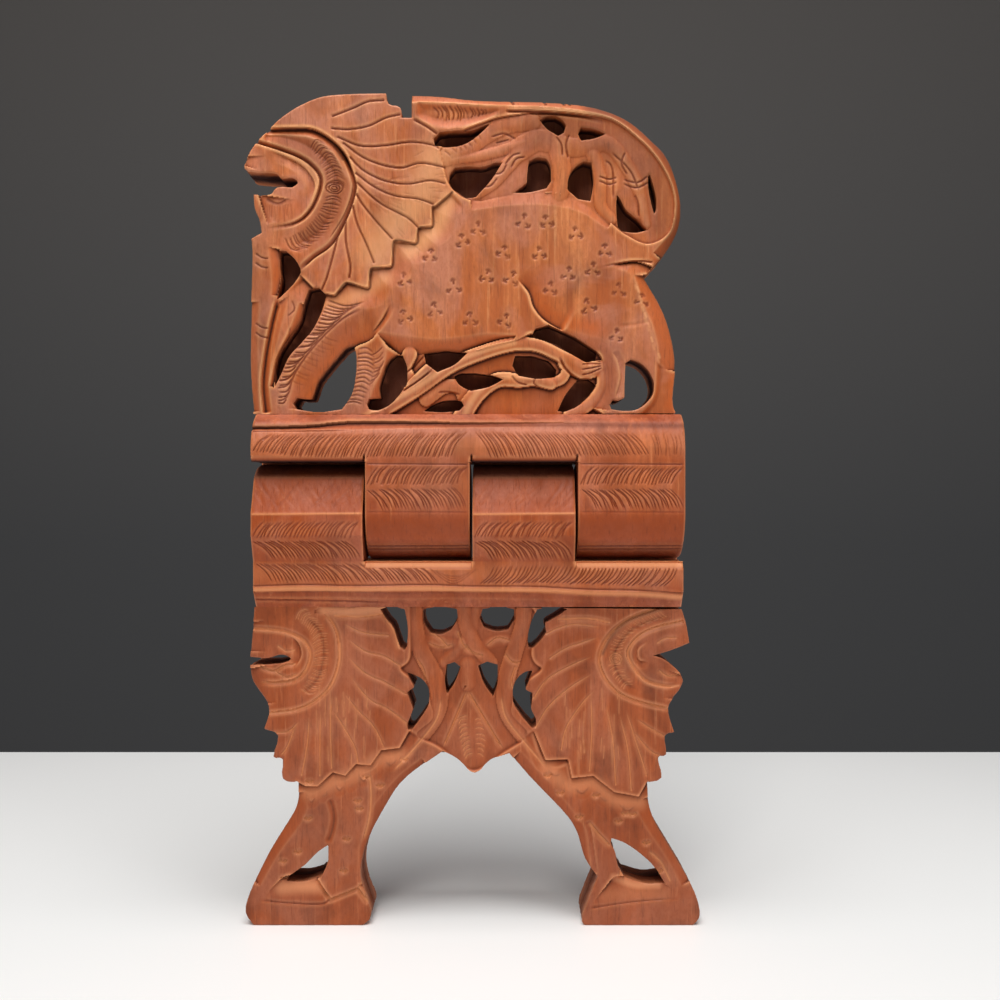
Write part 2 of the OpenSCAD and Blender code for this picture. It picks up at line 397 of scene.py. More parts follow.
class Net:
    """The cells of a grid that lie inside an outline, trimmed to it."""

    def __init__(self, face, f):
        f = np.where(np.abs(f) < 0.22 * face.step, 0, f)
        self.f, self.face = f, face
        inside = f >= 0
        corners = np.s_[:-1, :-1], np.s_[1:, :-1], np.s_[:-1, 1:], np.s_[1:, 1:]
        full = np.all([inside[corner] for corner in corners], 0)
        some = np.any([inside[corner] for corner in corners], 0)
        used = np.zeros(f.shape, bool)
        for corner in corners:
            used[corner] |= some
        used &= inside
        self.node = np.full(f.shape, -1)
        self.node[used] = np.arange(used.sum())
        self.where = [(float(i), float(j)) for i, j in zip(*np.nonzero(used))]
        i, j = np.nonzero(full)
        quads = [self.node[i, j], self.node[i, j + 1], self.node[i + 1, j + 1], self.node[i + 1, j]]
        self.faces = np.stack(quads, 1).tolist()
        self.crossing = {}
        for i, j in zip(*np.nonzero(some & ~full)):
            self.trim([(i, j), (i, j + 1), (i + 1, j + 1), (i + 1, j)])
        self.where = np.array(self.where)

    def trim(self, ring):
        """Keeps the part of one cell that is inside the outline."""
        polygon = []
        for a, b in zip(ring, ring[1:] + ring[:1]):
            if self.f[a] >= 0:
                polygon.append(self.node[a])
            if (self.f[a] >= 0) == (self.f[b] >= 0):
                continue
            inner, outer = (a, b) if self.f[a] >= 0 else (b, a)
            if self.f[inner] == 0:
                continue
            if (inner, outer) not in self.crossing:
                t = self.f[inner] / (self.f[inner] - self.f[outer])
                self.crossing[inner, outer] = len(self.where)
                self.where.append(tuple(p + t * (q - p) for p, q in zip(inner, outer)))
            polygon.append(self.crossing[inner, outer])
        if len(set(polygon)) > 2:
            self.faces.append([int(v) for v in polygon])

    def sample(self, grid):
        """The grid's values at the net's points."""
        return bilinear(grid, self.where[:, 0], self.where[:, 1])

    def border(self):
        return sorted(lone_sides(self.faces))

    def depth_inside(self, u, v):
        """How far inside the outline the grid point nearest to a place is."""
        i = min(int((v - self.face.v[0]) / self.face.step + 0.5), self.f.shape[0] - 1)
        j = min(int((u - self.face.u[0]) / self.face.step + 0.5), self.f.shape[1] - 1)
        return self.f[i, j]


def back_faces(uv, border, net):
    """Triangles that fill the flat back: the border's points, some more inside, and the corners."""
    ids = sorted({v for side in border for v in side})
    place = {v: k for k, v in enumerate(ids)}
    spread = 2.5
    extra = [(u, v) for u in np.arange(net.face.u[0], net.face.u[-1], spread)
             for v in np.arange(net.face.v[0], net.face.v[-1], spread) if net.depth_inside(u, v) > 1.5]
    points = [Vector(uv[v]) for v in ids] + [Vector(p) for p in extra]
    edges = [(place[a], place[b]) for a, b in border]
    result = geometry.delaunay_2d_cdt(points, edges, [], 0, 1e-7)
    verts, faces = result[0], result[2]
    source = [o[0] if o else None for o in result[3]]
    triangles = []
    for tri in faces:
        middle = sum((verts[v] for v in tri), Vector((0, 0))) / 3
        if net.depth_inside(*middle) > -0.1 and all(source[v] is not None for v in tri):
            triangles.append([source[v] for v in tri])
    return ids, extra, triangles


def shown_through(u, v, openings):
    """How far each point of a hidden face can be seen through the other panel's openings."""
    seen = np.zeros(len(u))
    for loop in openings:
        gap = np.min([np.hypot(u - x, v - y) for x, y in loop[::3]], axis=0)
        seen = np.maximum(seen, np.where(inside_ring(loop, u, v), 1.0, ease((7 - gap) / 5)))
    return seen


def sawn_edge(edge, inward, inner):
    """Rows of points down a sawn edge, which waves a little, from the front to the back."""
    rows = []
    for ring in range(1, RINGS + 1):
        swell = 0.16 + 0.13 * np.sin(edge[:, 0] * 0.9 + edge[:, 2] * 1.1 + ring * 1.3)
        swell = np.zeros(len(edge)) if ring == RINGS else swell
        row = edge + inward[:, [0, 0, 1]] * np.array([1, 0, 1]) * swell[:, None]
        row[:, 1] = edge[:, 1] + (inner - edge[:, 1]) * (ring / RINGS)
        rows.append(row)
    return rows


def edge_weights(edge, hidden, outline, wall_shade, openings, notch):
    """The weights of a panel's sawn edges, painted darkest as shade inside its openings and its notch,
    and of its back, painted as shade where it shows through the other panel's openings.
    """
    share = np.repeat(np.arange(1, RINGS + 1) / RINGS, len(edge))
    rim_gap = np.min([np.hypot(*(edge[:, [0, 2]] - p).T) for p in outline], axis=0)
    in_notch = np.hypot(edge[:, 0] - notch[0], edge[:, 2] - notch[1]) < notch[2]
    hole = np.tile((rim_gap > 0.6) | in_notch, RINGS)
    seen = shown_through(hidden[:, 0], hidden[:, 2], openings)
    return {
        "fresh_cut_and_shade": (0.6 * (1 - share), np.full(len(hidden), 0.2)),
        # Painted shade down the walls of openings, deeper towards the back, and on the back behind the
        # other panel's openings.
        "shade_and_stain": (ease(share * 1.5 - 0.2) * np.where(hole, wall_shade, 0.45) + 0.1, 0.25 + 0.55 * seen),
        # A painted highlight on the front of the walls where the wall shade is low.
        "wear_and_highlight": ((1 - wall_shade) * 1.3 * (1 - share), np.zeros(len(hidden))),
        "line": (np.zeros(len(share)), np.zeros(len(hidden))),
    }


def panel_faces(net, ids, border, triangles):
    """The cells of a panel's front, the faces down its sawn edges and the triangles of its back."""
    first, count = len(net.where), len(ids)
    place = {v: k for k, v in enumerate(ids)}
    rows = [ids] + [range(first + count * k, first + count * (k + 1)) for k in range(RINGS)]
    faces = list(net.faces)
    for above, below in zip(rows, rows[1:]):
        faces += [[above[place[b]], above[place[a]], below[place[a]], below[place[b]]] for a, b in border]
    last = first + count * (RINGS - 1)
    return faces + [[last + c, last + b, last + a] for a, b, c in triangles]


def carved_panel(node, relief, step, joint, wall_shade, openings=(), notch=(0, 0, 0)):
    """A pierced panel: its front carved, its edges sawn, its back flat, and no rim at its joint."""
    low, high = (np.array(c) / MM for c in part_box(node))
    front = low[1] < 0 and abs(low[1]) > abs(high[1])
    outer, inner = (low[1], high[1]) if front else (high[1], low[1])
    outlines = panel_outlines(node, outer)
    face = Face((low[0], low[2]), (high[0], high[2]), step)
    f = signed_distance(face, outlines)
    relief(face)
    rim = np.clip(1 - np.maximum(f, 0) / RIM, 0, 1) * ease(np.abs(face.V - joint / MM) / 2)
    depth = np.minimum(face.depth() + 0.5 * rim**2, abs(outer - inner) - WEB)
    net = Net(face, f)
    weights = colour_weights(face, f > -step)
    # The rounded rim gets edge wear and a painted highlight.
    weights["wear_and_highlight"] = np.maximum(weights["wear_and_highlight"], 0.25 * rim)
    u = np.clip(face.u[0] + net.where[:, 1] * step, low[0], high[0])
    v = np.clip(face.v[0] + net.where[:, 0] * step, low[2], high[2])
    carved = np.stack([u, outer + (1 if front else -1) * net.sample(depth), v], 1)
    border = net.border()
    ids, extra, triangles = back_faces(carved[:, [0, 2]], border, net)
    slope = np.stack([net.sample(g) for g in np.gradient(blurred(f, np.ones_like(f, bool), 1))], 1)
    edge = carved[ids]
    rows = sawn_edge(edge, unit(slope[ids][:, ::-1]), inner)
    hidden = np.array([(p[0], inner, p[1]) for p in extra]).reshape(-1, 3)
    faces = panel_faces(net, ids, border, triangles)
    if not front:
        faces = [polygon[::-1] for polygon in faces]
    rest = edge_weights(edge, hidden, outlines[0], wall_shade, openings, notch)
    weights = {key: np.concatenate([net.sample(grid), *rest[key]]) for key, grid in weights.items()}
    return mesh_object("carved_" + node, np.vstack([carved, *rows, hidden]) * MM, faces, weights)


def bar_section(node, low, high, step):
    """A bar's outline across X, the way it faces at each point, and which points are corners."""
    section = round_off(flat_outlines(node, 0, low[0] * MM)[0], step)
    ahead, behind = np.roll(section, -1, 0), np.roll(section, 1, 0)
    side = ahead - behind
    if (section[:, 0] * ahead[:, 1] - section[:, 1] * ahead[:, 0]).sum() < 0:
        section, side = section[::-1], -side[::-1]
    outward = unit(np.stack([side[:, 1], -side[:, 0]], 1))
    corner = np.abs(outward[:, 0] * outward[:, 1]) > 0.3
    corner &= (np.abs(section[:, 1] - low[2]) < 0.01) | (np.abs(section[:, 1] - high[2]) < 0.01)
    outward[corner] = np.sign(outward[corner]) * (1, 0)
    return section, outward, corner


def bar_faces(points):
    """The faces along a bar, and the triangles of its two sawn ends."""
    n, m = points.shape[:2]
    index = np.arange(n * m).reshape(n, m)
    ahead = np.roll(index, -1, 0)
    quads = np.stack([index[:, :-1], ahead[:, :-1], ahead[:, 1:], index[:, 1:]], -1)
    faces = quads.reshape(-1, 4).tolist()
    end = points[:, 0, 1:]
    for a, b, c in geometry.tessellate_polygon([[Vector((y, z, 0)) for y, z in end]]):
        a, b, c = (a, b, c) if np.cross(end[b] - end[a], end[c] - end[a]) > 0 else (c, b, a)
        faces.append([n * m + c, n * m + b, n * m + a])
        faces.append([n * m + n + a, n * m + n + b, n * m + n + c])
    return faces


def swept_bar(node, front_relief, rear_relief, step):
    """A bar with the CAD node's own section, carved in front and behind."""
    low, high = (np.array(c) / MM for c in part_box(node))
    section, outward, corner = bar_section(node, low, high, step)
    x = np.linspace(low[0], high[0], max(2, round((high[0] - low[0]) / step)) + 1)
    X, Z = np.repeat(x[None], len(section), 0), np.repeat(section[:, 1:], len(x), 1)
    sides = []
    for relief in (front_relief, rear_relief):
        face = Face((low[0], low[2]), (high[0], high[2]), step)
        relief(face, low, high)
        grids = {"depth": face.depth(), **colour_weights(face, np.ones_like(face.U, bool))}
        sides.append({key: sample_grid(face, grid, X, Z) for key, grid in grids.items()})
    rear = np.repeat(section[:, :1] > 0, len(x), 1)
    weights = {key: np.where(rear, sides[1][key], sides[0][key]) for key in sides[0]}
    facing = np.abs(outward[:, :1])
    depth = weights.pop("depth") * ease(facing * 3) + tool_marks(X, Z * 1.3) * (facing < 0.33)
    end = np.clip(1 - np.minimum(X - low[0], high[0] - X) / END_WEAR, 0, 1)
    depth = depth + 0.45 * end ** 2
    weights["wear_and_highlight"] = np.maximum(weights["wear_and_highlight"], 0.5 * end)
    Y = section[:, :1] - outward[:, :1] * depth
    for edge in (low[2], high[2]):
        at_edge = np.abs(section[:, 1] - edge) < 0.01
        level, rim = at_edge & (facing[:, 0] < 0.33), np.flatnonzero(corner & at_edge)
        if len(rim) == 2:
            Y[level] = np.clip(Y[level], Y[rim].min(0), Y[rim].max(0))
    points = np.stack([X, Y, Z - outward[:, 1:] * depth], -1)
    faces = bar_faces(points)
    ends = 2 * len(section)
    weights = {key: np.append(w.reshape(-1), np.full(ends, SAWN_END[key])) for key, w in weights.items()}
    points = np.concatenate([points.reshape(-1, 3), points[:, 0], points[:, -1]])
    return mesh_object("carved_" + node, np.clip(points, low, high) * MM, faces, weights)


def sample_grid(face, grid, u, v):
    """Values of a face's grid at any points."""
    return bilinear(grid, np.clip((v - face.v[0]) / face.step, 0, grid.shape[0] - 1.001),
                    np.clip((u - face.u[0]) / face.step, 0, grid.shape[1] - 1.001))


# ---- The carving of the book panels: a lion that walks to the left over vines

NECK_EDGE = [(-8.5, 315.5), (-15.5, 309.5), (-17, 309), (-17, 301), (-23, 300), (-24, 293.5),
             (-33.5, 294.5), (-34.5, 283.5), (-43.5, 282.5), (-44.5, 274), (-54, 276.5), (-59, 271),
             (-63, 271.5), (-66, 270.5), (-69, 274.5), (-74, 279.5)]
MANE_LINES = [
    [(-60.5, 348), (-51.5, 351.5), (-44.5, 354.5), (-37.5, 355)],
    [(-61, 343), (-53, 342.5), (-44.5, 344), (-37, 347.5), (-30.5, 349)],
    [(-58.5, 339.5), (-48.5, 335.5), (-38, 335.5), (-27, 337), (-18, 336), (-13.5, 334)],
    [(-56, 337), (-47, 330.5), (-38, 327), (-30, 326), (-22, 328), (-11, 326)],
    [(-53, 331), (-47, 325), (-38, 320.5), (-28, 319), (-18, 320.5), (-11, 319)],
    [(-50.5, 324), (-42.5, 318), (-33.5, 314), (-23, 312.5), (-16, 310)],
    [(-50, 320), (-40, 311), (-28, 304.5), (-23, 300)],
    [(-50, 315), (-47, 310), (-40.5, 302), (-34, 295)],
    [(-51.5, 310), (-49.5, 302), (-45.5, 293), (-42, 284.5)],
    [(-54.5, 304), (-54.3, 294), (-52.5, 284), (-53, 278)],
    [(-57.5, 298), (-60, 288), (-62.5, 279), (-65, 273)],
]
FLOWERS = [(-29, 277.5), (-18, 288), (-8, 274.5), (-16, 264.5), (-29, 261.5), (-4, 294.5), (2.5, 299.5),
           (13.5, 289.5), (6.5, 279), (17, 278), (-1, 260.5), (14, 260), (22, 302.5), (32, 302.5),
           (44.5, 297.5), (29, 289), (57, 290), (41.5, 280), (52, 282), (33.5, 274), (63, 273),
           (50, 266), (62, 253.5), (73, 269)]


def lion_head(face):
    outer = [(-89, 342.8), (-78, 343), (-68.5, 342.5), (-60, 337.5), (-54.5, 331), (-50.5, 320.5),
             (-50.5, 315), (-54, 304.5), (-60, 293.5), (-68.5, 287), (-75, 281)]
    inner = [(-94, 337.3), (-83.5, 334), (-73.5, 330), (-67, 324.5), (-65.5, 318.5), (-69.5, 308.5),
             (-76.5, 302.5), (-90, 299.5)]
    face.cut([(-90, 340), (-80, 339), (-70, 335), (-62, 328), (-58, 318), (-61, 307), (-67, 298),
              (-78, 292)], 5.5, 5.5, 1.3, (0.02, 0.1), 1.6, deep=True)
    face.cut(outer[:6], 0.6, 4.0, 2.8, (0.01, 0.25), 1.1, deep=True)
    face.cut(outer[3:], 0.6, 1.8, 1.9, (0.15, 0.1))
    face.cut([(-58, 335), (-52.5, 327), (-51.5, 317), (-55, 306), (-62, 294.5)], 0.4, 0.4, 0.5)
    face.cut(inner, 1.6, 0.6, 2.0, (0.01, 0.3))
    face.cut([(-88, 333.4), (-78, 329.6), (-71.5, 325), (-68, 318), (-71.5, 309.5)], 0.5, 4.0, 1.3,
             (0.3, 0.3), 1.3)
    face.hatch([(-70, 334), (-64.5, 327), (-62.8, 318), (-65, 309), (-71, 301), (-80, 295.5)],
               [(-63, 336.5), (-56.5, 328), (-54.2, 318), (-57.5, 306), (-64, 296.5), (-73, 289.5)], 44,
               (2.6, 2.4, 2.2, 1.8, -2.0, -2.0, -2.0), 0.36, 0.4, gap=(0.40, 0.47))
    face.nest(-59.4, 317.4, 3.6, 2.4)
    # Painted shade over the ring of fur and below the mouth.
    face.brush("shade_and_stain", [(-80, 338), (-68, 333), (-60, 325), (-58, 316), (-62, 305), (-70, 296)], 9, 0.42)
    face.brush("shade_and_stain", [(-96, 309), (-88, 306), (-82, 300)], 9, 0.2)
    face.brush("fresh_cut_and_shade", [(-88, 338), (-72, 334), (-61, 325)], 5, 0.5)
    face.brush("fresh_cut_and_shade", [(-63, 304), (-72, 293), (-80, 289)], 9, 0.75)
    face.brush("fresh_cut_and_shade", [(-90, 311), (-82, 306), (-76, 309)], 8, 0.6)
    # A painted shadow in the top of the outer groove.
    face.brush("shade_and_stain", [(-90, 342), (-78, 342.4), (-68.5, 341.5), (-61, 337), (-55.8, 330)], 1.3, 0.75)
    face.brush("line", [(-94, 337.3), (-83.5, 334), (-73.5, 330), (-67.5, 325)], 0.8, 0.9)
    face.facet([(-76, 312), (-79, 304.5), (-88, 301.5)], [(-94.5, 315), (-93, 305), (-91, 299)], 1.8)
    face.cut([(-89, 313.5), (-84, 311), (-80, 312.5)], 0.4, 1.5, 0.4)
    face.facet([(-88.5, 331), (-91, 328), (-92, 325)], [(-96.5, 331), (-98, 327.5), (-97, 324.5)], 0.9)
    for at in np.linspace(0, 1, 12):
        x = -91 + 13 * at
        face.cut([(x, 310.5), (x + random.uniform(-1, 1), 303 + random.uniform(-2, 2))], 0.5, 0.7, 0.14)


def lion_mane(face):
    face.cut(NECK_EDGE, 9, 0.35, 1.8, (0.01, 0.02), 1.15, bent=False, deep=True)
    # A painted shadow along the foot of the mane's edge.
    face.brush("shade_and_stain", NECK_EDGE, 0.8, 0.8)
    for line in MANE_LINES:
        face.cut(line, 0.75, 0.65, 0.85, (0.02, 0.03))
    # Painted highlights where the mane catches the light.
    face.brush("wear_and_highlight", [(-11, 313), (-14, 304), (-19, 297), (-27, 291)], 7, 0.7)
    face.brush("wear_and_highlight", [(-38, 279), (-50, 271.5), (-62, 267)], 6, 0.45)
    face.brush("wear_and_highlight", [(-16, 330), (-22, 314), (-33, 302), (-42, 290)], 15, 0.55)
    for _ in range(40):
        along, spread = random.uniform(0.15, 0.95), random.uniform(-0.9, 0.5)
        a = np.array([-49, 318]) + 36 * along * np.array([math.cos(spread), math.sin(spread)])
        face.cut([a, a + 5 * np.array([math.cos(spread), math.sin(spread)])], 0.4, 0.4, 0.12)
    face.sink([(-24.8, 356), (-24.5, 347.5), (-14, 342.6), (0, 343.6), (9, 347), (12, 351.5), (2, 354.3),
               (-12, 356)], 1.6, 5)
    face.hatch([(-17, 353), (-10, 353.5), (-3, 352.6), (5, 351.5)],
               [(-15, 346), (-8.5, 345.5), (-2, 346.6), (5.5, 349)], 14, (1.6, 1.2, 1.0), 0.4, 0.55)
    face.cut([(-25.5, 346.8), (-20, 343.8), (-14.5, 340)], 1.2, 0.5, 1.0)


def flower(face, x, z):
    """Three uneven petals round a point: each a curved stroke, with one that leads out to it."""
    turn = random.uniform(-0.35, 0.35)
    for angle in (math.pi / 2, math.pi * 7 / 6, math.pi * 11 / 6):
        out = np.array([math.cos(angle + turn), math.sin(angle + turn)])
        across = np.array([-out[1], out[0]])
        middle = np.array([x, z])
        tip = middle + out * random.uniform(2.6, 3.5)
        wide, lean = random.uniform(0.9, 1.5), random.uniform(-0.5, 0.5)
        face.cut([tip - across * wide - out * (1.2 + lean), tip,
                  tip + across * wide - out * (1.2 - lean)], 0.5, 0.9, random.uniform(0.3, 0.6),
                 (0.2, 0.2))
        face.cut([middle + out * 0.7, middle + out * 1.5 + across * lean, tip - out * 0.3],
                 random.uniform(0.5, 0.8), random.uniform(0.6, 0.9), random.uniform(0.35, 0.7),
                 (0.5, 0.1))


def lion_body(face):
    face.facet([(-42, 256), (-30, 254), (-16, 252.5), (-4, 253.5), (8, 254.8), (19, 254)],
               [(-36, 249), (-28, 244.5), (-20, 246.3), (-3, 246.3), (7, 249.6), (18, 252)], 3.6,
               power=1.3)
    face.cut([(19, 279), (24.5, 272.5), (26.8, 266), (31.5, 260.5), (40, 255.5)], 20, 0.8, 2.6,
             (0.25, 0.1), 2.2, deep=True)
    face.facet([(0, 307.5), (14, 309.5), (30, 310), (46, 307), (58, 299.5)],
               [(-3, 312), (13, 314.5), (33, 315.5), (47, 311.5), (61, 301.5)], 1.3)
    face.facet([(69.5, 279.5), (74, 266.5), (78, 257), (80, 247), (79, 240)],
               [(78, 280.5), (86, 264.5), (91, 246.5), (91, 236), (90, 228)], 4.2, power=0.9)
    face.facet([(60, 282), (66, 281.3), (72.5, 275)], [(61, 284.4), (70, 285.8), (77.5, 283.5)], 1.8,
               (0.4, 0.2), 1.2)
    face.cut([(54, 283), (61, 284.6), (70, 286), (78, 285.5)], 0.4, 1.0, 0.8, (0.5, 0.05))
    face.cut([(63, 258), (70, 258.5), (77, 260)], 1.5, 1.5, 0.3, power=1.5)
    face.brush("fresh_cut_and_shade", [(27, 271), (33, 264), (42, 259.5), (52, 257)], 7, 0.9)
    # Short painted highlights along the rump's ridge.
    for k in range(22):
        at = np.array([69.5, 279]) + k / 21 * np.array([10.5, -35]) + random.uniform(-0.7, 0.7, 2)
        face.brush("wear_and_highlight", [at, at + random.uniform(0.6, 1.2) * np.array([0.6, -1.8])],
                   random.uniform(0.8, 1.3), random.uniform(0.1, 0.75))
    face.brush("fresh_cut_and_shade", [(79, 276), (86, 262), (89, 246), (88, 230)], 6, 0.9)
    face.brush("fresh_cut_and_shade", [(-40, 253), (-20, 249), (0, 250), (15, 252)], 4.5, 0.7)
    for x, z in FLOWERS:
        flower(face, x, z)


def lion_legs(face):
    face.facet([(-38.5, 269), (-47, 265.5), (-55, 261.5), (-63, 254.5), (-71, 245.5), (-77, 236),
                (-79.5, 222)], [(-33.5, 269), (-38.5, 260), (-43, 252.5), (-50, 249), (-58, 242.5),
                                (-65.5, 233), (-68, 222)], 3.0, (0.35, 0), 1.2)
    face.cut([(-47, 265.5), (-55, 261.5), (-63, 254.5), (-71, 245.5), (-77, 236), (-79.5, 226)], 0.8,
             0.8, 0.45)
    face.hatch([(-63, 269), (-68, 257.5), (-77.5, 245.5), (-82.5, 236), (-84, 224)],
               [(-45.5, 268.5), (-56, 262.5), (-66.5, 252), (-75.5, 240), (-79.5, 227)], 30,
               (-2.4, -2.0, -1.6, -1.2, -1.0), 0.5, 0.75)
    face.hatch([(-66, 255), (-73, 246), (-79, 236)], [(-57, 251.5), (-64.5, 243), (-71.5, 232)], 11,
               (-0.6,), 0.4, 0.18)
    face.cut([(-34.5, 268.5), (-38.5, 261), (-43.5, 254.5)], 2.4, 0.4, 1.2, (0.5, 0.1), deep=True)
    face.facet([(-36.5, 250), (-38.5, 240), (-43.5, 229), (-44.5, 221)],
               [(-30.5, 246), (-33.5, 240), (-37.8, 229), (-37.5, 221)], 2.8)
    face.hatch([(-49.5, 248), (-50, 240), (-52, 231), (-55, 224)],
               [(-42, 246), (-41.5, 238), (-44, 230), (-47, 223.5)], 14, (1.2, 1.5, 0.8), 0.45, 0.5)
    face.hatch([(-38.5, 249), (-38, 243), (-41, 236)], [(-44, 245), (-42.5, 239), (-45.5, 232)], 8,
               (1.0, 0.8), 0.4, 0.4)
    face.facet([(38, 258), (46, 255), (57, 251.5), (62, 243), (63, 232), (61, 221)],
               [(27, 254.5), (37, 251), (50, 243.5), (55, 236), (53.5, 230), (50, 221)], 1.9, power=1.2)
    face.cut([(60.5, 247), (63, 243), (64.3, 236), (62, 227)], 2.5, 0.6, 0.8)
    face.sink([(79, 243), (92, 241), (92, 228), (95, 214), (68, 214), (77, 227)], 1.5, 3)
    face.brush("shade_and_stain", [(57, 246), (60, 236), (60, 224)], 6, 0.25)
    face.brush("shade_and_stain", [(-94, 290), (-92, 266), (-92, 245), (-92, 224)], 9, 0.27)
    face.brush("fresh_cut_and_shade", [(84, 250), (88, 238), (86, 224)], 7, 1.0)
    face.brush("shade_and_stain", [(-48, 262), (-58, 255), (-66, 246), (-72, 232)], 7, 0.16)


def stem_and_leaf(face):
    face.facet([(-91.5, 268), (-92, 248), (-91, 221)], [(-96, 268), (-96.5, 246), (-94.5, 221)], 1.6)
    face.cut([(-83.5, 270), (-86.5, 258), (-89, 244), (-90, 232), (-89, 220)], 2.8, 1.2, 2.2,
             (0.08, 0.02), deep=True)
    face.facet([(-74.5, 268), (-78.5, 257), (-84, 245), (-87.5, 232)],
               [(-71, 268), (-74, 259.5), (-82.5, 246), (-86, 229)], 2.2)
    face.facet([(-78.5, 271), (-84, 250), (-88, 236)], [(-83.5, 268), (-87.5, 250), (-89.8, 236)], 1.2)
    for z in (254, 258, 284, 288):
        face.cut([(-93.5, z + 1.2), (-90.5, z - 0.8), (-87.5, z - 1.2)], 0.7, 0.4, 0.6)
    face.cut([(-79.5, 262), (-76.5, 265), (-77.5, 269)], 0.5, 0.5, 0.4)
    face.cut([(-82, 247), (-79.5, 252), (-78, 258)], 0.4, 0.4, 0.3)
    face.facet([(-88, 292), (-86.5, 280), (-86.5, 271)], [(-83.2, 291), (-82.3, 280), (-84, 270)], 1.6)


def vines(face):
    face.sink([(-37, 222), (-36, 243), (-21, 246.8), (-2, 246.8), (18, 251.5), (27, 255), (41, 252),
               (55, 246), (56.5, 233), (52, 224), (50, 217), (-44, 217)], 3.2, 0.6)
    face.brush("wear_and_highlight", [(-50, 217), (-24, 231.5), (-9.5, 241.2), (5, 247.3), (18, 250.6)], 2.2, 0.6)
    face.brush("wear_and_highlight", [(-4, 217), (0, 226), (5, 232), (13, 236), (27, 236)], 2.6, 0.6)
    face.band([(-52, 216), (-40, 221.5), (-24, 231), (-9.5, 240.8), (5, 246.8), (18, 250.2), (28, 249.7),
               (38, 245.3), (47, 240.8)], (3.6, 2.6), 0.3, 0.5)
    face.band([(-6, 215), (-1.5, 224), (4.5, 231), (12, 235), (20, 234.5), (27, 234.8), (34, 233)],
              (4.2, 2.4), 0.4)
    face.band([(34, 233.5), (39, 235.5), (40.5, 240), (38, 244)], (2.4, 1.8), 0.9)
    face.band([(-27, 246), (-29, 240), (-26, 234)], (3.2, 2.4), 0.9)
    face.band([(-25, 232), (-17, 240.5)], (3.4, 2.8), 0.1, 0.2)
    face.band([(56, 238), (55.5, 231), (50, 224), (42, 219.5)], (2.2, 2.8), 0.7)
    face.band([(41, 242.5), (48, 239), (55, 240)], (4.0, 3.4), 0.5, 1.0)
    face.band([(-20, 226.5), (-12, 232), (-5, 231), (-2, 222)], (3.0, 3.2), 1.6, 0.8)
    face.cut([(-30.5, 229.5), (-23, 234.5), (-16, 240)], 0.6, 0.6, 1.4, (0.1, 0.3))
    face.cut([(-31.5, 236), (-26, 240), (-20.5, 246)], 0.5, 0.7, 0.9)
    face.cut([(37.5, 245), (41, 239), (47, 234.5)], 0.5, 0.9, 1.2, (0.2, 0.2))
    for k in range(4):
        face.cut([(47, 237 + 2.2 * k), (51, 237.8 + 2.0 * k), (56, 240 + 0.8 * k)], 0.5, 0.5, 0.7)
    face.cut([(17, 236.8), (19.5, 234), (24, 232.5)], 0.5, 0.8, 0.7)
    face.cut([(28, 236.5), (26.5, 233.5), (29, 231.5)], 0.6, 0.5, 0.6)
    face.cut([(-15, 229.5), (-10, 229.8), (-5, 228.5)], 0.5, 0.7, 0.5)


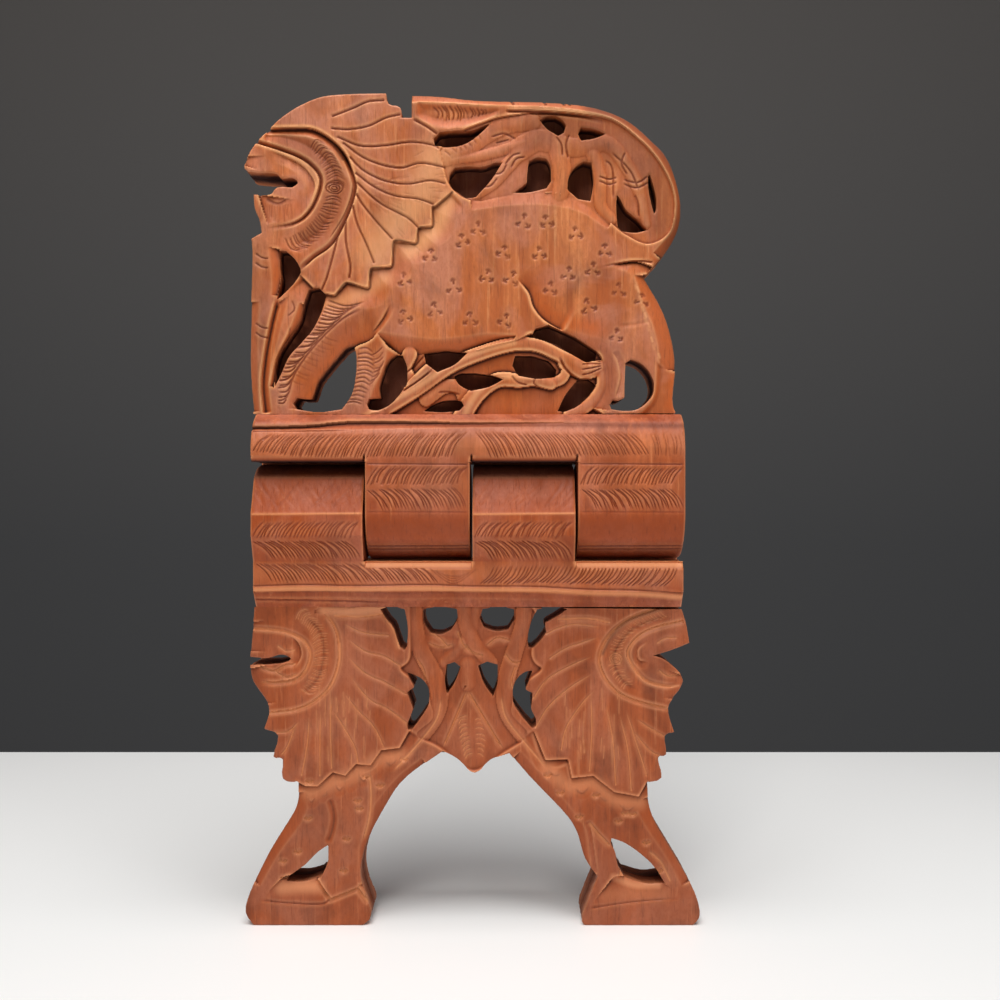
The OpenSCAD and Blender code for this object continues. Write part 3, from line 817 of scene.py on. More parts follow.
def tail(face):
    face.brush("fresh_cut_and_shade", [(-20, 356), (10, 354.5), (45, 352.5), (64, 347), (78, 336), (87, 320),
                         (88, 303), (80, 287)], 4.5, 1.0)
    face.brush("shade_and_stain", [(52, 353), (68, 348), (80, 338), (90, 322), (92, 306), (84, 286)], 9, 0.72)
    face.brush("shade_and_stain", [(30, 344), (50, 341), (66, 334), (80, 320), (82, 304)], 17, 0.42)
    face.brush("shade_and_stain", [(-28, 358), (0, 357), (30, 355), (52, 353)], 4, 0.3)
    face.sink([(-14, 333.6), (-9, 340), (7, 346.8), (20, 349.3), (33, 350.6), (48, 349.4), (61, 346.6),
               (73, 337.8), (81, 328.5), (86.2, 318), (87.5, 308.5), (85, 298), (76, 293), (66, 297),
               (58.5, 303), (50, 309), (38, 314.6), (25, 315), (12, 313), (0, 311.5), (-10, 318.5)], 1.3,
              0.6)
    rim = [(-25, 351.8), (-5, 351.8), (14, 350.6), (32, 350.2), (48, 348.6), (60.5, 345.3), (72, 336.3),
           (79.5, 327.5), (84.3, 317.5), (86, 308.5), (84, 299.5), (78, 291.5)]
    face.cut(rim[2:6], 0.5, 1.3, 1.3, (0.05, 0.4))
    face.facet([(-31, 354.4), (-5, 353.4), (14, 352.8), (32, 352.2), (48, 350.5), (61, 347), (73, 337.8),
                (81, 328.5), (86, 318), (87.3, 308.5), (85, 298.5), (78, 289.5)],
               [(-31, 360.5), (-5, 360), (14, 358.5), (32, 357.8), (50, 356), (68, 350.3), (80, 341.3),
                (89, 330.5), (94, 314), (93, 303.5), (88.8, 292), (80, 281.5)], 4.2, power=0.8)
    for x in (16, 30, 38, 40.5, 55):
        face.cut([(x, 357.5), (x + 2.2, 353)], 0.5, 1.0, 1.0)
    leaf = [[(-14, 331), (-5, 333), (4, 339.5), (14, 344.5), (26, 346)],
            [(-9, 329.5), (4, 331.5), (15, 334.5), (24, 337.5)],
            [(2, 316), (9, 320.5), (15, 327), (22, 334.5)],
            [(20, 334), (28, 338), (36, 336), (39, 322), (37, 312)],
            [(30, 338), (44, 335), (58, 336.5), (66, 328), (72, 316), (75, 302)],
            [(52, 332), (55, 322), (55.5, 310), (60, 304)]]
    for line, half in zip(leaf, ((4.5, 3.5), (2.0, 2.5), (3.2, 3.2), (5.0, 3.4), (4.5, 2.0), (3.0, 2.5))):
        face.band(line, half, 0.55, 0.5, 0.8)
    ridges = [[(36, 340), (38.5, 336), (39, 331)], [(42, 341), (40.5, 336), (41.5, 330)],
              [(60, 333), (68, 325), (72, 316)], [(8, 339.5), (14, 341), (19, 338.5)],
              [(10, 337), (16, 338.5)], [(14, 327.5), (17.5, 331.5), (21, 332.5)],
              [(16.5, 326), (19, 330), (23, 331)], [(8, 323.5), (12.5, 324), (15, 328)],
              [(4, 318), (8, 318.5), (11, 322)], [(54.5, 322.5), (59, 321.5), (62.5, 322.3)],
              [(54.5, 320.5), (59, 319.3), (62.5, 320.2)], [(65, 321.5), (71, 319.8), (76, 323)],
              [(65, 319.6), (71, 317.6), (76.5, 320.5)], [(57, 330), (60.5, 326), (61, 313)],
              [(66, 333), (64.5, 328), (67, 323)], [(70, 315), (71.5, 311), (72, 305)]]
    for line in ridges:
        face.cut(line, 0.5, 0.7, 0.6)
    face.hatch([(0, 341.5), (-6, 336.5), (-12, 333.5)], [(4.5, 337.5), (-2, 333.8), (-9, 331)], 7,
               (0.5,), 0.5, 0.3)


def lion_panel(face):
    for carve in (lion_body, lion_legs, stem_and_leaf, vines, tail, lion_head, lion_mane):
        carve(face)


def lion_panel_blind(face):
    """The rear panel: the same lion, whose small openings are pockets that don't go through, filled with
    painted shade.
    """
    lion_panel(face)
    front = panel_outlines("front_book_panel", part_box("front_book_panel")[0][1] / MM)
    own = panel_outlines("rear_book_panel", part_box("rear_book_panel")[1][1] / MM)
    for loop in front[1:]:
        if not any(np.linalg.norm(loop.mean(0) - other.mean(0)) < 1.0 for other in own[1:]):
            face.sink(loop, 4.5, 0.9)
            # Painted shade inside each pocket.
            window = face.window(loop, 0)
            face.tint["shade_and_stain"][window] = np.where(face.within(loop, window), 0.9, face.tint["shade_and_stain"][window])


# ---- The carving of the leg panels: two lion heads back to back over splayed legs

def leg_heads(face):
    left_outer = [(-89, 91.5), (-76.5, 93), (-68.5, 96.5), (-61.5, 103), (-58, 112), (-57.5, 120.5),
                  (-59.5, 128.5), (-65, 136)]
    left_inner = [(-95, 127.3), (-83.5, 126.5), (-76.5, 124.5), (-72, 121.5), (-70, 116.5), (-72, 110),
                  (-76.5, 106), (-83.5, 104.8), (-92, 105)]
    face.cut(left_outer, 0.4, 1.6, 1.1, (0.02, 0.1))
    face.cut(left_inner, 1.8, 0.4, 1.1, (0.01, 0.1))
    # Painted highlights along the edges of the left ring.
    face.brush("wear_and_highlight", [(-88, 91.2), (-76.5, 92.6), (-67.5, 97), (-60.5, 104), (-57.4, 113), (-57, 121)],
               1.0, 0.9)
    face.brush("wear_and_highlight", left_inner[:6], 1.0, 0.6)
    face.cut([(-72, 133), (-65.5, 126), (-64, 116), (-67, 105.5), (-74, 99)], 4.6, 4.6, 1.0, power=1.6,
             deep=True)
    face.hatch([(-76, 131.5), (-70.5, 126.5), (-68.3, 117), (-69.8, 108.5), (-74, 101.5)],
               [(-70, 136.8), (-62.8, 128), (-61, 117), (-62.3, 107), (-67, 99.5)], 34,
               (1.8, 1.6, 1.2, -1.2, -1.4), 0.36, 0.35)
    face.cut([(-79, 125), (-75, 121), (-74, 116), (-77, 110.5)], 0.6, 3.4, 1.2, (0.3, 0.2), 1.2)
    face.cut([(-94, 113), (-86, 109.5), (-80.5, 112), (-75, 112.5)], 0.5, 1.2, 0.9)
    face.cut([(-86, 110), (-80, 106.8), (-75, 108.5)], 0.5, 0.9, 0.7)
    face.cut([(-84, 120.5), (-80, 118), (-76, 118.5)], 0.5, 0.7, 0.5)
    right_outer = [(84, 137.5), (68.5, 131.8), (59.5, 125), (55, 115.8), (57, 107.5), (63, 100.5),
                   (72, 96.5), (86, 93.2)]
    right_inner = [(91, 131.3), (79.5, 128.5), (72, 125), (67.3, 119.5), (67, 115), (70.5, 109),
                   (75.5, 104.5), (84, 102.5), (89, 103)]
    face.cut(right_outer, 0.4, 1.6, 1.2, (0.02, 0.05))
    face.cut(right_inner, 1.8, 0.4, 1.1, (0.01, 0.1))
    # Painted highlights along the lower edges of the right ring.
    face.brush("wear_and_highlight", right_outer[4:], 0.9, 0.7)
    face.brush("wear_and_highlight", right_inner[4:], 0.9, 0.7)
    face.cut([(85, 134), (71, 128.5), (63.5, 121), (61, 114), (65, 105), (73, 100.5)], 4.6, 4.6, 1.0,
             power=1.6, deep=True)
    face.hatch([(84, 132.5), (75, 129), (67.5, 123.5), (64.5, 115), (67, 108), (70, 104)],
               [(80, 136.5), (69, 131.5), (60.5, 123.5), (57.3, 115), (60, 106.5), (64.5, 101)], 34,
               (0.9, 0.9, 0.9, 0.9, -1.0, -1.4), 0.36, 0.35, gap=(0.62, 0.71))
    face.nest(61.8, 114.6, 2.6, 2.2)
    # Painted shade along the top of the right outer groove.
    face.brush("shade_and_stain", [(84, 137), (68.5, 131.5), (60.5, 125), (56.2, 117)], 1.4, 0.55)
    face.cut([(76, 113), (71.5, 114), (71, 119), (76, 123)], 3.0, 0.6, 1.0, (0.2, 0.3), 1.2)
    face.cut([(79, 121), (83.5, 123.5), (88.5, 123.5)], 0.7, 0.5, 0.6)
    face.cut([(80, 110), (84, 107.5), (89.5, 108)], 0.5, 0.9, 0.7)
    face.facet([(-89, 131), (-88, 118)], [(-94.3, 131), (-96, 118)], 0.8)
    face.facet([(-87, 112), (-84, 96)], [(-101, 112), (-93, 90)], 1.8)
    face.facet([(84, 110), (82, 98)], [(94, 106), (89, 92)], 1.4)


def leg_manes(face):
    left = [[(-56, 130), (-47.2, 126), (-35.5, 124.6)],
            [(-55, 124), (-45.8, 117.8), (-38, 115.7), (-30, 111)],
            [(-55, 117), (-46.5, 108.8), (-38, 104.7), (-28, 99.2)],
            [(-54, 109), (-45, 97.9), (-37, 93.4), (-29, 87.6), (-26.5, 83)],
            [(-56, 101), (-49.2, 92.4), (-42.4, 85.5), (-38, 76.5)],
            [(-61, 94), (-54.5, 84), (-50.6, 76.6), (-49, 69.5)], [(-60, 101), (-61, 88), (-60.5, 67)],
            [(-65, 94), (-65.5, 80), (-65.5, 64)], [(-70, 91), (-71, 78), (-73.5, 64)],
            [(-74, 88), (-79, 83.5), (-86, 83)], [(-76, 86), (-79.5, 77), (-82, 73.5)]]
    right = [[(56.5, 128), (45, 129.5), (37, 127.8), (31.5, 125)],
             [(55, 124), (48, 121.8), (40, 119), (33, 114.5)],
             [(52.5, 116), (42, 111.5), (32, 105.5), (26, 97)],
             [(53, 109), (41, 101.5), (32.5, 93.5), (27, 84.5)],
             [(53.5, 102), (47, 95), (40.5, 85), (38.3, 75)], [(51, 101), (51.5, 85), (50.5, 66)],
             [(57, 97), (60.5, 80), (61.8, 60)], [(63, 92), (67, 76), (68.5, 57.5)],
             [(70, 89), (77, 84.6), (84, 80.5)], [(69, 84), (75.5, 76), (81, 72.5)],
             [(66, 93), (74, 68), (75, 64)]]
    for line in left + right:
        face.cut(line, 0.6, 0.6, 0.65, (0.3, 0.02))
    for centre in (-55, 52):
        for _ in range(26):
            x = centre + random.uniform(-12, 12)
            z = random.uniform(74, 104)
            face.cut([(x, z), (x + random.uniform(-0.7, 0.7), z - random.uniform(6, 13))], 0.45, 0.55,
                     0.22)
    left_edge = [(-26.5, 84), (-31, 76), (-39, 75), (-43.5, 68.6), (-50, 69), (-54.5, 64), (-60, 65.4),
                 (-66.5, 59.4), (-72, 59.6), (-76.5, 62)]
    right_edge = [(75.8, 62), (72, 55), (61, 57), (52, 64), (42.6, 63), (41, 71), (31.3, 70.8), (26, 84)]
    for edge in (left_edge, right_edge):
        face.cut(edge, 5, 0.35, 1.4, (0.02, 0.02), 0.8, bent=False, deep=True)
        for (ax, az), (bx, bz) in zip(edge[1:], edge[2:]):
            middle = ((ax + bx) / 2, (az + bz) / 2 - 3.2)
            # A painted highlight along the lit edge of each scallop.
            face.brush("wear_and_highlight", [(ax, az - 2.0), middle, (bx, bz - 2.0)], 1.3, 0.55)
            face.cut([(ax, az - 2.4), (middle[0], middle[1] - 3.4), (bx, bz - 2.4)], 2.8, 0.4, 0.45,
                     deep=True)
    face.cut([(-39, 135), (-33.5, 127), (-31, 118)], 0.5, 1.4, 0.5)
    face.facet([(-28.5, 137), (-62, 135), (-62, 131.5), (-45, 131.5), (-36, 132)],
               [(-40, 137.5), (-64, 137), (-66, 134), (-45, 137.5), (-37, 135)], 0.4)
    face.cut([(-60, 133), (-48, 132.6), (-37, 134)], 1.6, 0.4, 0.8, (0.05, 0.1))
    face.cut([(60, 130), (50, 131.8), (36, 131.5)], 0.5, 1.4, 0.8, (0.05, 0.1))


def leg_vines(face):
    face.sink([(-27, 138), (-27, 116), (-31, 110), (-22, 102), (-17, 90), (-24, 82), (-14, 76), (0, 66),
               (14, 74), (24, 82), (17, 92), (22, 103), (30, 110), (26, 116), (24, 138)], 1.3, 1.0)
    face.band([(-25, 138), (-24.5, 128), (-22, 118), (-15, 104), (-15.5, 92), (-24, 80), (-38, 64)],
              (3.4, 4.6), 0.3, 0.6)
    face.band([(22.5, 138), (21.5, 128), (18, 117), (14.5, 104), (15.5, 92), (24, 80), (38, 62)],
              (3.4, 4.6), 0.3, 0.6)
    face.band([(-20, 122), (-10, 121), (0, 118), (10, 122), (20, 122)], (3.4, 3.4), 0.9, 0.6)
    face.band([(-4, 138), (-2, 128), (1, 121), (8, 113)], (3.6, 3.0), 0.3, 0.7)
    face.band([(1.5, 138), (0, 128), (-4, 121), (-12, 113)], (3.0, 3.0), 0.7, 0.7)
    face.band([(-2, 104), (-2, 112)], (3.4, 3.4), 0.6)
    face.facet([(-1.5, 103), (-5, 90), (-9, 80)], [(-3, 103), (-9.5, 92), (-15, 77)], 1.4)
    face.facet([(-1.5, 103), (4, 90), (9, 79)], [(1, 103), (7.5, 92), (15.5, 76)], 1.1)
    for a, b in (((-2, 101), (-12.5, 76)), ((-2, 101), (13.5, 75))):
        face.cut([a, b], 0.5, 0.9, 0.9)
    face.hatch([(-6.5, 88), (-5, 79), (-3, 71)], [(-2.5, 90), (-1, 82), (0.5, 74)], 10, (0.6,), 0.4, 0.5)
    face.hatch([(4.5, 88), (5.5, 80), (5, 72)], [(1, 88), (1.5, 80), (1.5, 74)], 8, (-0.6,), 0.4, 0.35)
    for line in ([(-19, 121.5), (-14, 119.5), (-8, 120.5)], [(-18.5, 126), (-14, 123.5), (-10, 119)],
                 [(6, 120), (11, 123.5), (17, 122)], [(-3, 121), (0, 117.5), (5, 116)],
                 [(-6.5, 127), (-4, 121), (-1, 117.5)], [(-24, 115), (-21, 110), (-20, 104)],
                 [(19, 112), (17, 106), (17.5, 101)], [(14, 117), (17, 113.5), (21, 113)]):
        face.cut(line, 0.5, 0.8, 0.8)
    face.cut([(-13, 98), (-15.5, 88), (-24, 77), (-34, 66)], 0.5, 1.2, 0.6)
    face.cut([(12, 99), (14.5, 89), (22, 79), (32, 67)], 1.2, 0.5, 0.6)


def leg_edges(face):
    for line in ([(-31, 73), (-41, 71), (-48, 66), (-58, 62), (-70, 57)],
                 [(32, 68), (42, 60), (52, 61), (62, 54), (72, 53)]):
        face.brush("wear_and_highlight", line, 6, 0.5)
    face.brush("wear_and_highlight", [(-64, 135.5), (-52, 135), (-36, 136.5)], 4, 0.8)
    face.brush("wear_and_highlight", [(-82, 16), (-74, 16.5), (-66, 16.5)], 5, 0.8)
    face.brush("wear_and_highlight", [(61, 20.5), (70, 17), (80, 17)], 3, 0.8)
    face.brush("wear_and_highlight", [(58, 13), (70, 13.5), (82, 13)], 6, 0.25)
    face.facet([(-22, 72), (-32, 64), (-42, 52), (-45, 44), (-48.5, 33), (-48.5, 24)],
               [(-14, 72.5), (-26, 61), (-34.5, 49), (-41, 40), (-43, 32), (-44.5, 22)], 2.4)
    face.facet([(21, 75), (32, 63), (42, 51), (48.5, 42), (50.5, 33), (51, 25)],
               [(13.5, 72.8), (23.5, 60.5), (34, 49.5), (41.5, 40), (45, 31), (47.5, 23)], 2.4)
    face.facet([(-69, 57), (-73, 45), (-83, 31), (-91, 17)],
               [(-80, 57), (-82, 47), (-93, 29), (-101, 13)], 3.2)
    face.facet([(69, 53), (75, 42), (83, 30), (90, 17)], [(80, 56), (83.5, 45.5), (93.5, 31), (100, 15)],
               3.2)
    # Painted shade along the legs' rounded edges.
    for line in ([(-79, 58), (-80, 48), (-91, 31), (-97, 17), (-98, 4)],
                 [(78, 56), (81.5, 45.5), (91.5, 31), (97, 17), (98, 4)],
                 [(-22, 66), (-34, 54), (-42, 40), (-44, 24), (-42, 6)],
                 [(22, 64), (34, 50), (42, 38), (46, 24), (47, 6)]):
        face.brush("shade_and_stain", line, 6, 0.3)


def leg_paws(face):
    face.cut([(-61.5, 55), (-59.5, 47), (-60.5, 40), (-62.5, 35)], 2.0, 2.0, 0.9, power=1.3, deep=True)
    face.cut([(-44.5, 66), (-43.7, 56), (-44.5, 46), (-47, 36)], 1.4, 0.5, 0.7)
    face.facet([(-90, 11), (-81.5, 9.9), (-66, 9.2), (-61, 11)],
               [(-87, 15), (-81, 20.5), (-74, 22), (-66.8, 20.3)], 2.2, (0.4, 0))
    face.cut([(-92.5, 10.8), (-81.5, 9.6), (-66, 8.9), (-61, 10.8)], 1.4, 0.4, 0.5, (0.2, 0.02),
             deep=True)
    face.brush("wear_and_highlight", [(-48.8, 18), (-43.6, 8.8)], 0.9, 0.8)
    face.brush("wear_and_highlight", [(53.4, 22.4), (50.4, 14), (47.2, 4.5)], 0.8, 0.9)
    face.cut([(-67, 19.5), (-61, 11.2), (-49.2, 16), (-44.4, 9.5)], 0.5, 1.5, 1.2, (0.03, 0.05),
             bent=False)
    face.cut([(-49, 16), (-46.5, 21), (-46.8, 27)], 0.5, 0.8, 0.8)
    face.cut([(-48.5, 17.5), (-43.5, 8.5)], 2.6, 0.4, 1.6, (0.1, 0.1), deep=True)
    face.cut([(53, 22.4), (50, 14), (46.8, 4.5)], 0.4, 2.4, 2.6, (0.06, 0.06), deep=True)
    face.facet([(50, 7.2), (57.2, 8.5), (66, 9.8), (76, 10.8), (88, 11.3)],
               [(57, 16), (62, 21), (70, 20), (79, 19.5), (86, 16)], 1.8, (0.3, 0.35))
    face.cut([(49, 6.8), (57.2, 8.2), (66, 9.5), (76, 10.5), (92, 11.5)], 1.4, 0.4, 0.5, (0.1, 0.3),
             deep=True)
    face.cut([(50.3, 45), (51.8, 34), (53.5, 22)], 0.6, 2.2, 0.7, (0.05, 0.1))
    face.cut([(50.5, 44.5), (55, 39), (59.8, 34)], 0.5, 1.8, 0.9, (0.05, 0.1))
    for line in ([(-66, 50), (-74, 38), (-82, 26), (-85, 8)], [(-55, 50), (-54, 34), (-53, 10)],
                 [(60, 50), (70, 38), (80, 26), (84, 8)], [(52, 44), (56, 30), (57, 8)]):
        face.brush("shade_and_stain", line, 16, 0.13)
    face.cut([(62, 36), (64.5, 27), (63.5, 19)], 0.4, 1.2, 0.7)
    face.cut([(75.5, 32), (81, 27), (85.5, 18)], 1.4, 0.4, 0.6)
    dents = [(-70.5, 46.2), (-75, 31.8), (-81.4, 27.7), (-80.8, 20.5), (-54, 37.3), (-55.4, 23.6),
             (-48.5, 50.3), (-49.2, 53.8), (-39.6, 60.3), (-29.3, 71.6), (-45.5, 64), (-70, 62),
             (32.7, 64.6), (37.9, 57.2), (53.5, 56), (46, 46.8), (66, 48.3), (69, 48), (63, 45),
             (75, 35.7), (80.5, 23.5)]
    for x, z in dents:
        flower_cut(face, x, z)


def flower_cut(face, x, z):
    """One half-moon gouge."""
    face.cut([(x - 1.9, z + 0.3), (x, z - 1.1), (x + 1.9, z + 0.5)], 1.7, 0.4, 1.0, (0.15, 0.15))


def leg_carving(face):
    for carve in (leg_vines, leg_manes, leg_heads, leg_edges, leg_paws):
        carve(face)


# ---- The carving of the rails and knuckles

def upper_rail_carving(face, low, high):
    left, right, base = low[0], high[0], low[2]
    face.facet([(left, base + 13.2), (left + 23, base + 13.4), (-50, base + 13.6), (0, base + 14.6),
                (right, base + 15)], [(left, base + 15), (left + 23, base + 15.6), (-48, base + 17.6),
                                      (0, base + 17), (right, base + 16.6)], 1.5, (0, 0.8))
    # A painted shadow under the lip, broader at the left.
    face.brush("shade_and_stain", [(left, base + 14.9), (left + 23, base + 15.4), (-48, base + 17),
                       (-15, base + 16.8)], 1.9, 0.7)
    face.brush("shade_and_stain", [(-15, base + 16.4), (20, base + 16), (right, base + 15.4)], 2.3, 0.5)
    face.cut([(left, base + 13), (left + 24, base + 13.2), (-50, base + 13.4)], 0.5, 0.4, 0.5,
             (0.01, 0.2))
    # Painted shade along the rounded top edge.
    face.brush("shade_and_stain", [(left, base + 19), (right, base + 19)], 2.4, 0.12)
    face.brush("wear_and_highlight", [(left, base + 7), (right, base + 7.5)], 10, 0.26)
    face.hatch([(left + 1, base + 3.5), (-70, base + 1.6), (-40, base + 1.2), (-9, base + 1.4)],
               [(left + 8, base + 11.6), (-63, base + 12.2), (-31, base + 12.8), (-1.5, base + 13)], 62,
               (1.0,), 0.34, 0.6)
    face.hatch([(8.5, base + 1.6), (40, base + 1.6), (75, base + 2.5)],
               [(1.5, base + 13.2), (32, base + 13), (67, base + 12.4)], 50, (-1.0,), 0.34, 0.55)
    face.hatch([(77, base + 2), (right - 2, base + 2)], [(75.5, base + 12), (right - 2.5, base + 12)], 8,
               (-0.4,), 0.4, 0.3)


def window_over(place):
    low, high = (np.array(c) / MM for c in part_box(f"hinge_knuckle_{place}"))
    return low[0] - 0.6, high[0] + 0.6


def lipped_upper_rail(places):
    """An upper rail, with its lower edge rounded over the knuckles that stand clear of it."""
    def carving(face, low, high):
        upper_rail_carving(face, low, high)
        for place in places:
            x0, x1 = window_over(place)
            face.cut([(x0, low[2]), (x1, low[2])], 2.8, 0.1, 1.8, SHARP_ENDS, 1.8, deep=True)
            for x in (x0, x1):
                face.cut([(x, low[2]), (x + 0.2, low[2] + 3)], 0.5, 0.5, 1.6, (0.001, 0.3))
                # Painted shade down the slit at each side of the window.
                face.brush("shade_and_stain", [(x, low[2]), (x + 0.2, low[2] + 3)], 0.7, 0.9)
    return carving


def lower_rail_carving(face, low, high):
    left, right, top = low[0], high[0], high[2]
    face.hatch([(left + 1, top - 0.8), (-55, top - 0.8), (-24, top - 0.8)],
               [(left + 9, top - 9.6), (-46, top - 9.8), (-13.5, top - 9.8)], 46, (1.1,), 0.36, 0.6)
    face.hatch([(3, top - 9.8), (40, top - 9.8), (right - 9, top - 11)],
               [(10, top - 0.8), (47, top - 0.8), (right - 2, top - 1.4)], 48, (-1.1,), 0.36, 0.6)
    for k in range(4):
        face.cut([(-19 + 2.6 * k, top - 2.2 - 1.2 * k), (-8, top - 9.4 + 1.0 * k),
                  (3 - 2.6 * k, top - 2.6 - 1.2 * k)], 0.45, 0.5, 0.22)
    lip = [(left, top - 10.6), (-72, top - 10), (-48, top - 10.4), (-20, top - 10), (0, top - 10.6),
           (26, top - 10.8), (50, top - 12), (70, top - 12.4), (right, top - 14)]
    face.cut(lip, 0.8, 0.4, 0.5, SHARP_ENDS, deep=True)
    lower = [(left, top - 14), (-60, top - 13.4), (-30, top - 14.2), (0, top - 13.8), (45, top - 14.8),
             (right, top - 16)]
    face.facet([(x, z - 1.2) for x, z in lip], lower, 0.7, (0, 0.5))
    face.cut(lower, 0.1, 2.2, 0.6, (0.001, 0.5), deep=True)
    # A painted highlight along the lip, and a little painted shade under it.
    face.brush("wear_and_highlight", [(x, z - 1.6) for x, z in lip], 2.1, 0.85)
    face.brush("wear_and_highlight", [(left, top - 5), (right, top - 5)], 8, 0.2)
    face.brush("shade_and_stain", [(x, z - 1.0) for x, z in lower], 2.6, 0.08)
    face.cut([(left, top - 16.6), (left + 40, top - 17.4), (left + 60, top - 18.2)], 0.6, 0.5, 0.5,
             (0.01, 0.3))


def lipped_lower_rail(places):
    """A lower rail, with its top edge sloped off under the knuckles that stand clear of it, and a painted
    highlight on that slope.
    """
    def carving(face, low, high):
        lower_rail_carving(face, low, high)
        for place in places:
            x0, x1 = window_over(place)
            ledge = (face.U > x0) & (face.U < x1) & (face.V > high[2] - 3.0)
            face.scored[ledge] = 0
            face.cuts[ledge] = 0
            face.cut([(x0, high[2]), (x1, high[2])], 0.1, 3.4, 2.6, SHARP_ENDS, deep=True)
            # A painted highlight on the sloped ledge.
            face.brush("wear_and_highlight", [(x0 + 1, high[2] - 0.6), (x1 - 1, high[2] - 0.6)], 3.4, 1.4)
    return carving


def held_above(face, low, high):
    """The face of a knuckle that hangs from the rail over it: herringbone, then a smooth barrel with
    painted shade towards its underside.
    """
    x0, x1, top = low[0], high[0], high[2]
    face.cut([(x0, top - 0.9), (x1, top - 1.1)], 0.4, 0.4, 0.5, (0.05, 0.05))
    face.hatch([(x0 + 0.6, top - 10.2), (x1 - 6, top - 10)], [(x0 + 6, top - 1.6), (x1 - 0.6, top - 2)],
               28, (0.8,), 0.34, 0.55)
    face.hatch([(x0 + 0.6, top - 11.4), (x1 - 7, top - 11)],
               [(x0 + 8, top - 21), (x1 - 0.6, top - 20.5)], 27, (1.2,), 0.34, 0.55)
    face.cut([(x0, top - 21), (x1, top - 21.2)], 0.4, 0.6, 0.2, (0.05, 0.05))
    # Painted shade on the barrel: a deeper orange over it, darkest at its underside.
    face.brush("fresh_cut_and_shade", [(x0, top - 28), (x1, top - 28)], 11, 1.3)
    face.brush("wear_and_highlight", [(x0, top - 9), (x1, top - 9)], 9, 0.14)
    face.brush("shade_and_stain", [(x0, top - 27), (x1, top - 27)], 8, 0.1)
    face.brush("shade_and_stain", [(x0, top - 38), (x1, top - 38)], 6.5, 0.5)
    for z, depth in ((top - 36, 0.5), (top - 37.4, 0.4)):
        face.cut([(x0, z), (x1, z + 0.3)], 0.4, 0.5, depth, (0.02, 0.02))


def held_below(face, low, high):
    """The face of a knuckle that stands on the rail under it: sawn flat on top, herringbone below, with
    painted shade across its top.
    """
    x0, x1, radius = low[0], high[0], high[1]
    axis = (low[2] + high[2]) / 2
    angle = np.arcsin(np.clip((face.V - axis) / radius, -1, 1))
    middle, half = math.radians(22), math.radians(24)
    flat = radius - radius * math.cos(half) / np.cos(angle - middle)
    face.ground += np.where(np.abs(angle - middle) < half, flat, 0)
    # A deeper orange below the axis, and painted shade across the top, under the rail's lip.
    face.tint["fresh_cut_and_shade"] += 0.25 * (face.V < axis)
    face.tint["shade_and_stain"] += 0.62 * ease((face.V - axis - 13.5) / 1.5)
    for _ in range(22):
        x = x0 + (x1 - x0) * random.uniform(-0.1, 0.9)
        lean = random.uniform(8, 15) * random.choice([1, 1, 1, -1])
        face.cut([(x, axis + 0.5), (x + lean, axis + 14.5)], 1.0, random.uniform(1, 2.6),
                 random.uniform(0.05, 0.14), (0.2, 0.2))
    face.brush("wear_and_highlight", [(x0, axis - 1), (x1, axis - 0.6)], 0.7, 0.8)
    face.hatch([(x0 + 0.6, axis - 11.2), (x1 - 6, axis - 11.2)],
               [(x0 + 6, axis - 4), (x1 - 0.6, axis - 3.6)], 27, (0.7,), 0.34, 0.5)
    face.hatch([(x0 + 0.6, axis - 12.2), (x1 - 8, axis - 12.2)],
               [(x0 + 9, axis - 21), (x1 - 0.6, axis - 21)], 27, (1.2,), 0.34, 0.65)


# ---- Finishes

def srgb(red, green, blue):
    """A linear colour from screen values of 0 to 255."""
    shares = np.array([red, green, blue]) / 255
    return [(c / 12.92 if c <= 0.04 else ((c + 0.055) / 1.055) ** 2.4) for c in shares.tolist()] + [1]


class Shader:
    """Builds a material's node tree."""

    def __init__(self, name):
        self.material = bpy.data.materials.new(name)
        self.material.use_nodes = True
        self.tree = self.material.node_tree
        self.surface = self.tree.nodes["Principled BSDF"]

    def node(self, kind, inputs=None, **settings):
        made = self.tree.nodes.new("ShaderNode" + kind)
        for key, value in settings.items():
            setattr(made, key, value)
        for key, value in (inputs or {}).items():
            self.put(made.inputs[key], value)
        return made

    def put(self, socket, value):
        if isinstance(value, bpy.types.NodeSocket):
            self.tree.links.new(value, socket)
        else:
            socket.default_value = value

    def noise(self, place, stretch, scale, detail=2.0, distortion=0.0, roughness=0.5):
        mapped = self.node("Mapping", {"Vector": place, "Scale": stretch})
        return self.node("TexNoise", {"Vector": mapped.outputs[0], "Scale": scale, "Detail": detail,
                                      "Roughness": roughness, "Distortion": distortion}).outputs["Fac"]

    def range(self, value, low, high, to_low=0.0, to_high=1.0):
        return self.node("MapRange", {"Value": value, "From Min": low, "From Max": high, "To Min": to_low,
                                      "To Max": to_high}).outputs[0]

    def math(self, operation, a, b):
        return self.node("Math", {0: a, 1: b}, operation=operation).outputs[0]

    def mix(self, factor, a, b):
        made = self.node("Mix", data_type="RGBA")
        self.put(made.inputs[0], factor)
        self.put(made.inputs[6], a)
        self.put(made.inputs[7], b)
        return made.outputs[2]

    def weight(self, name):
        return self.node("Attribute", attribute_name=name).outputs["Fac"]


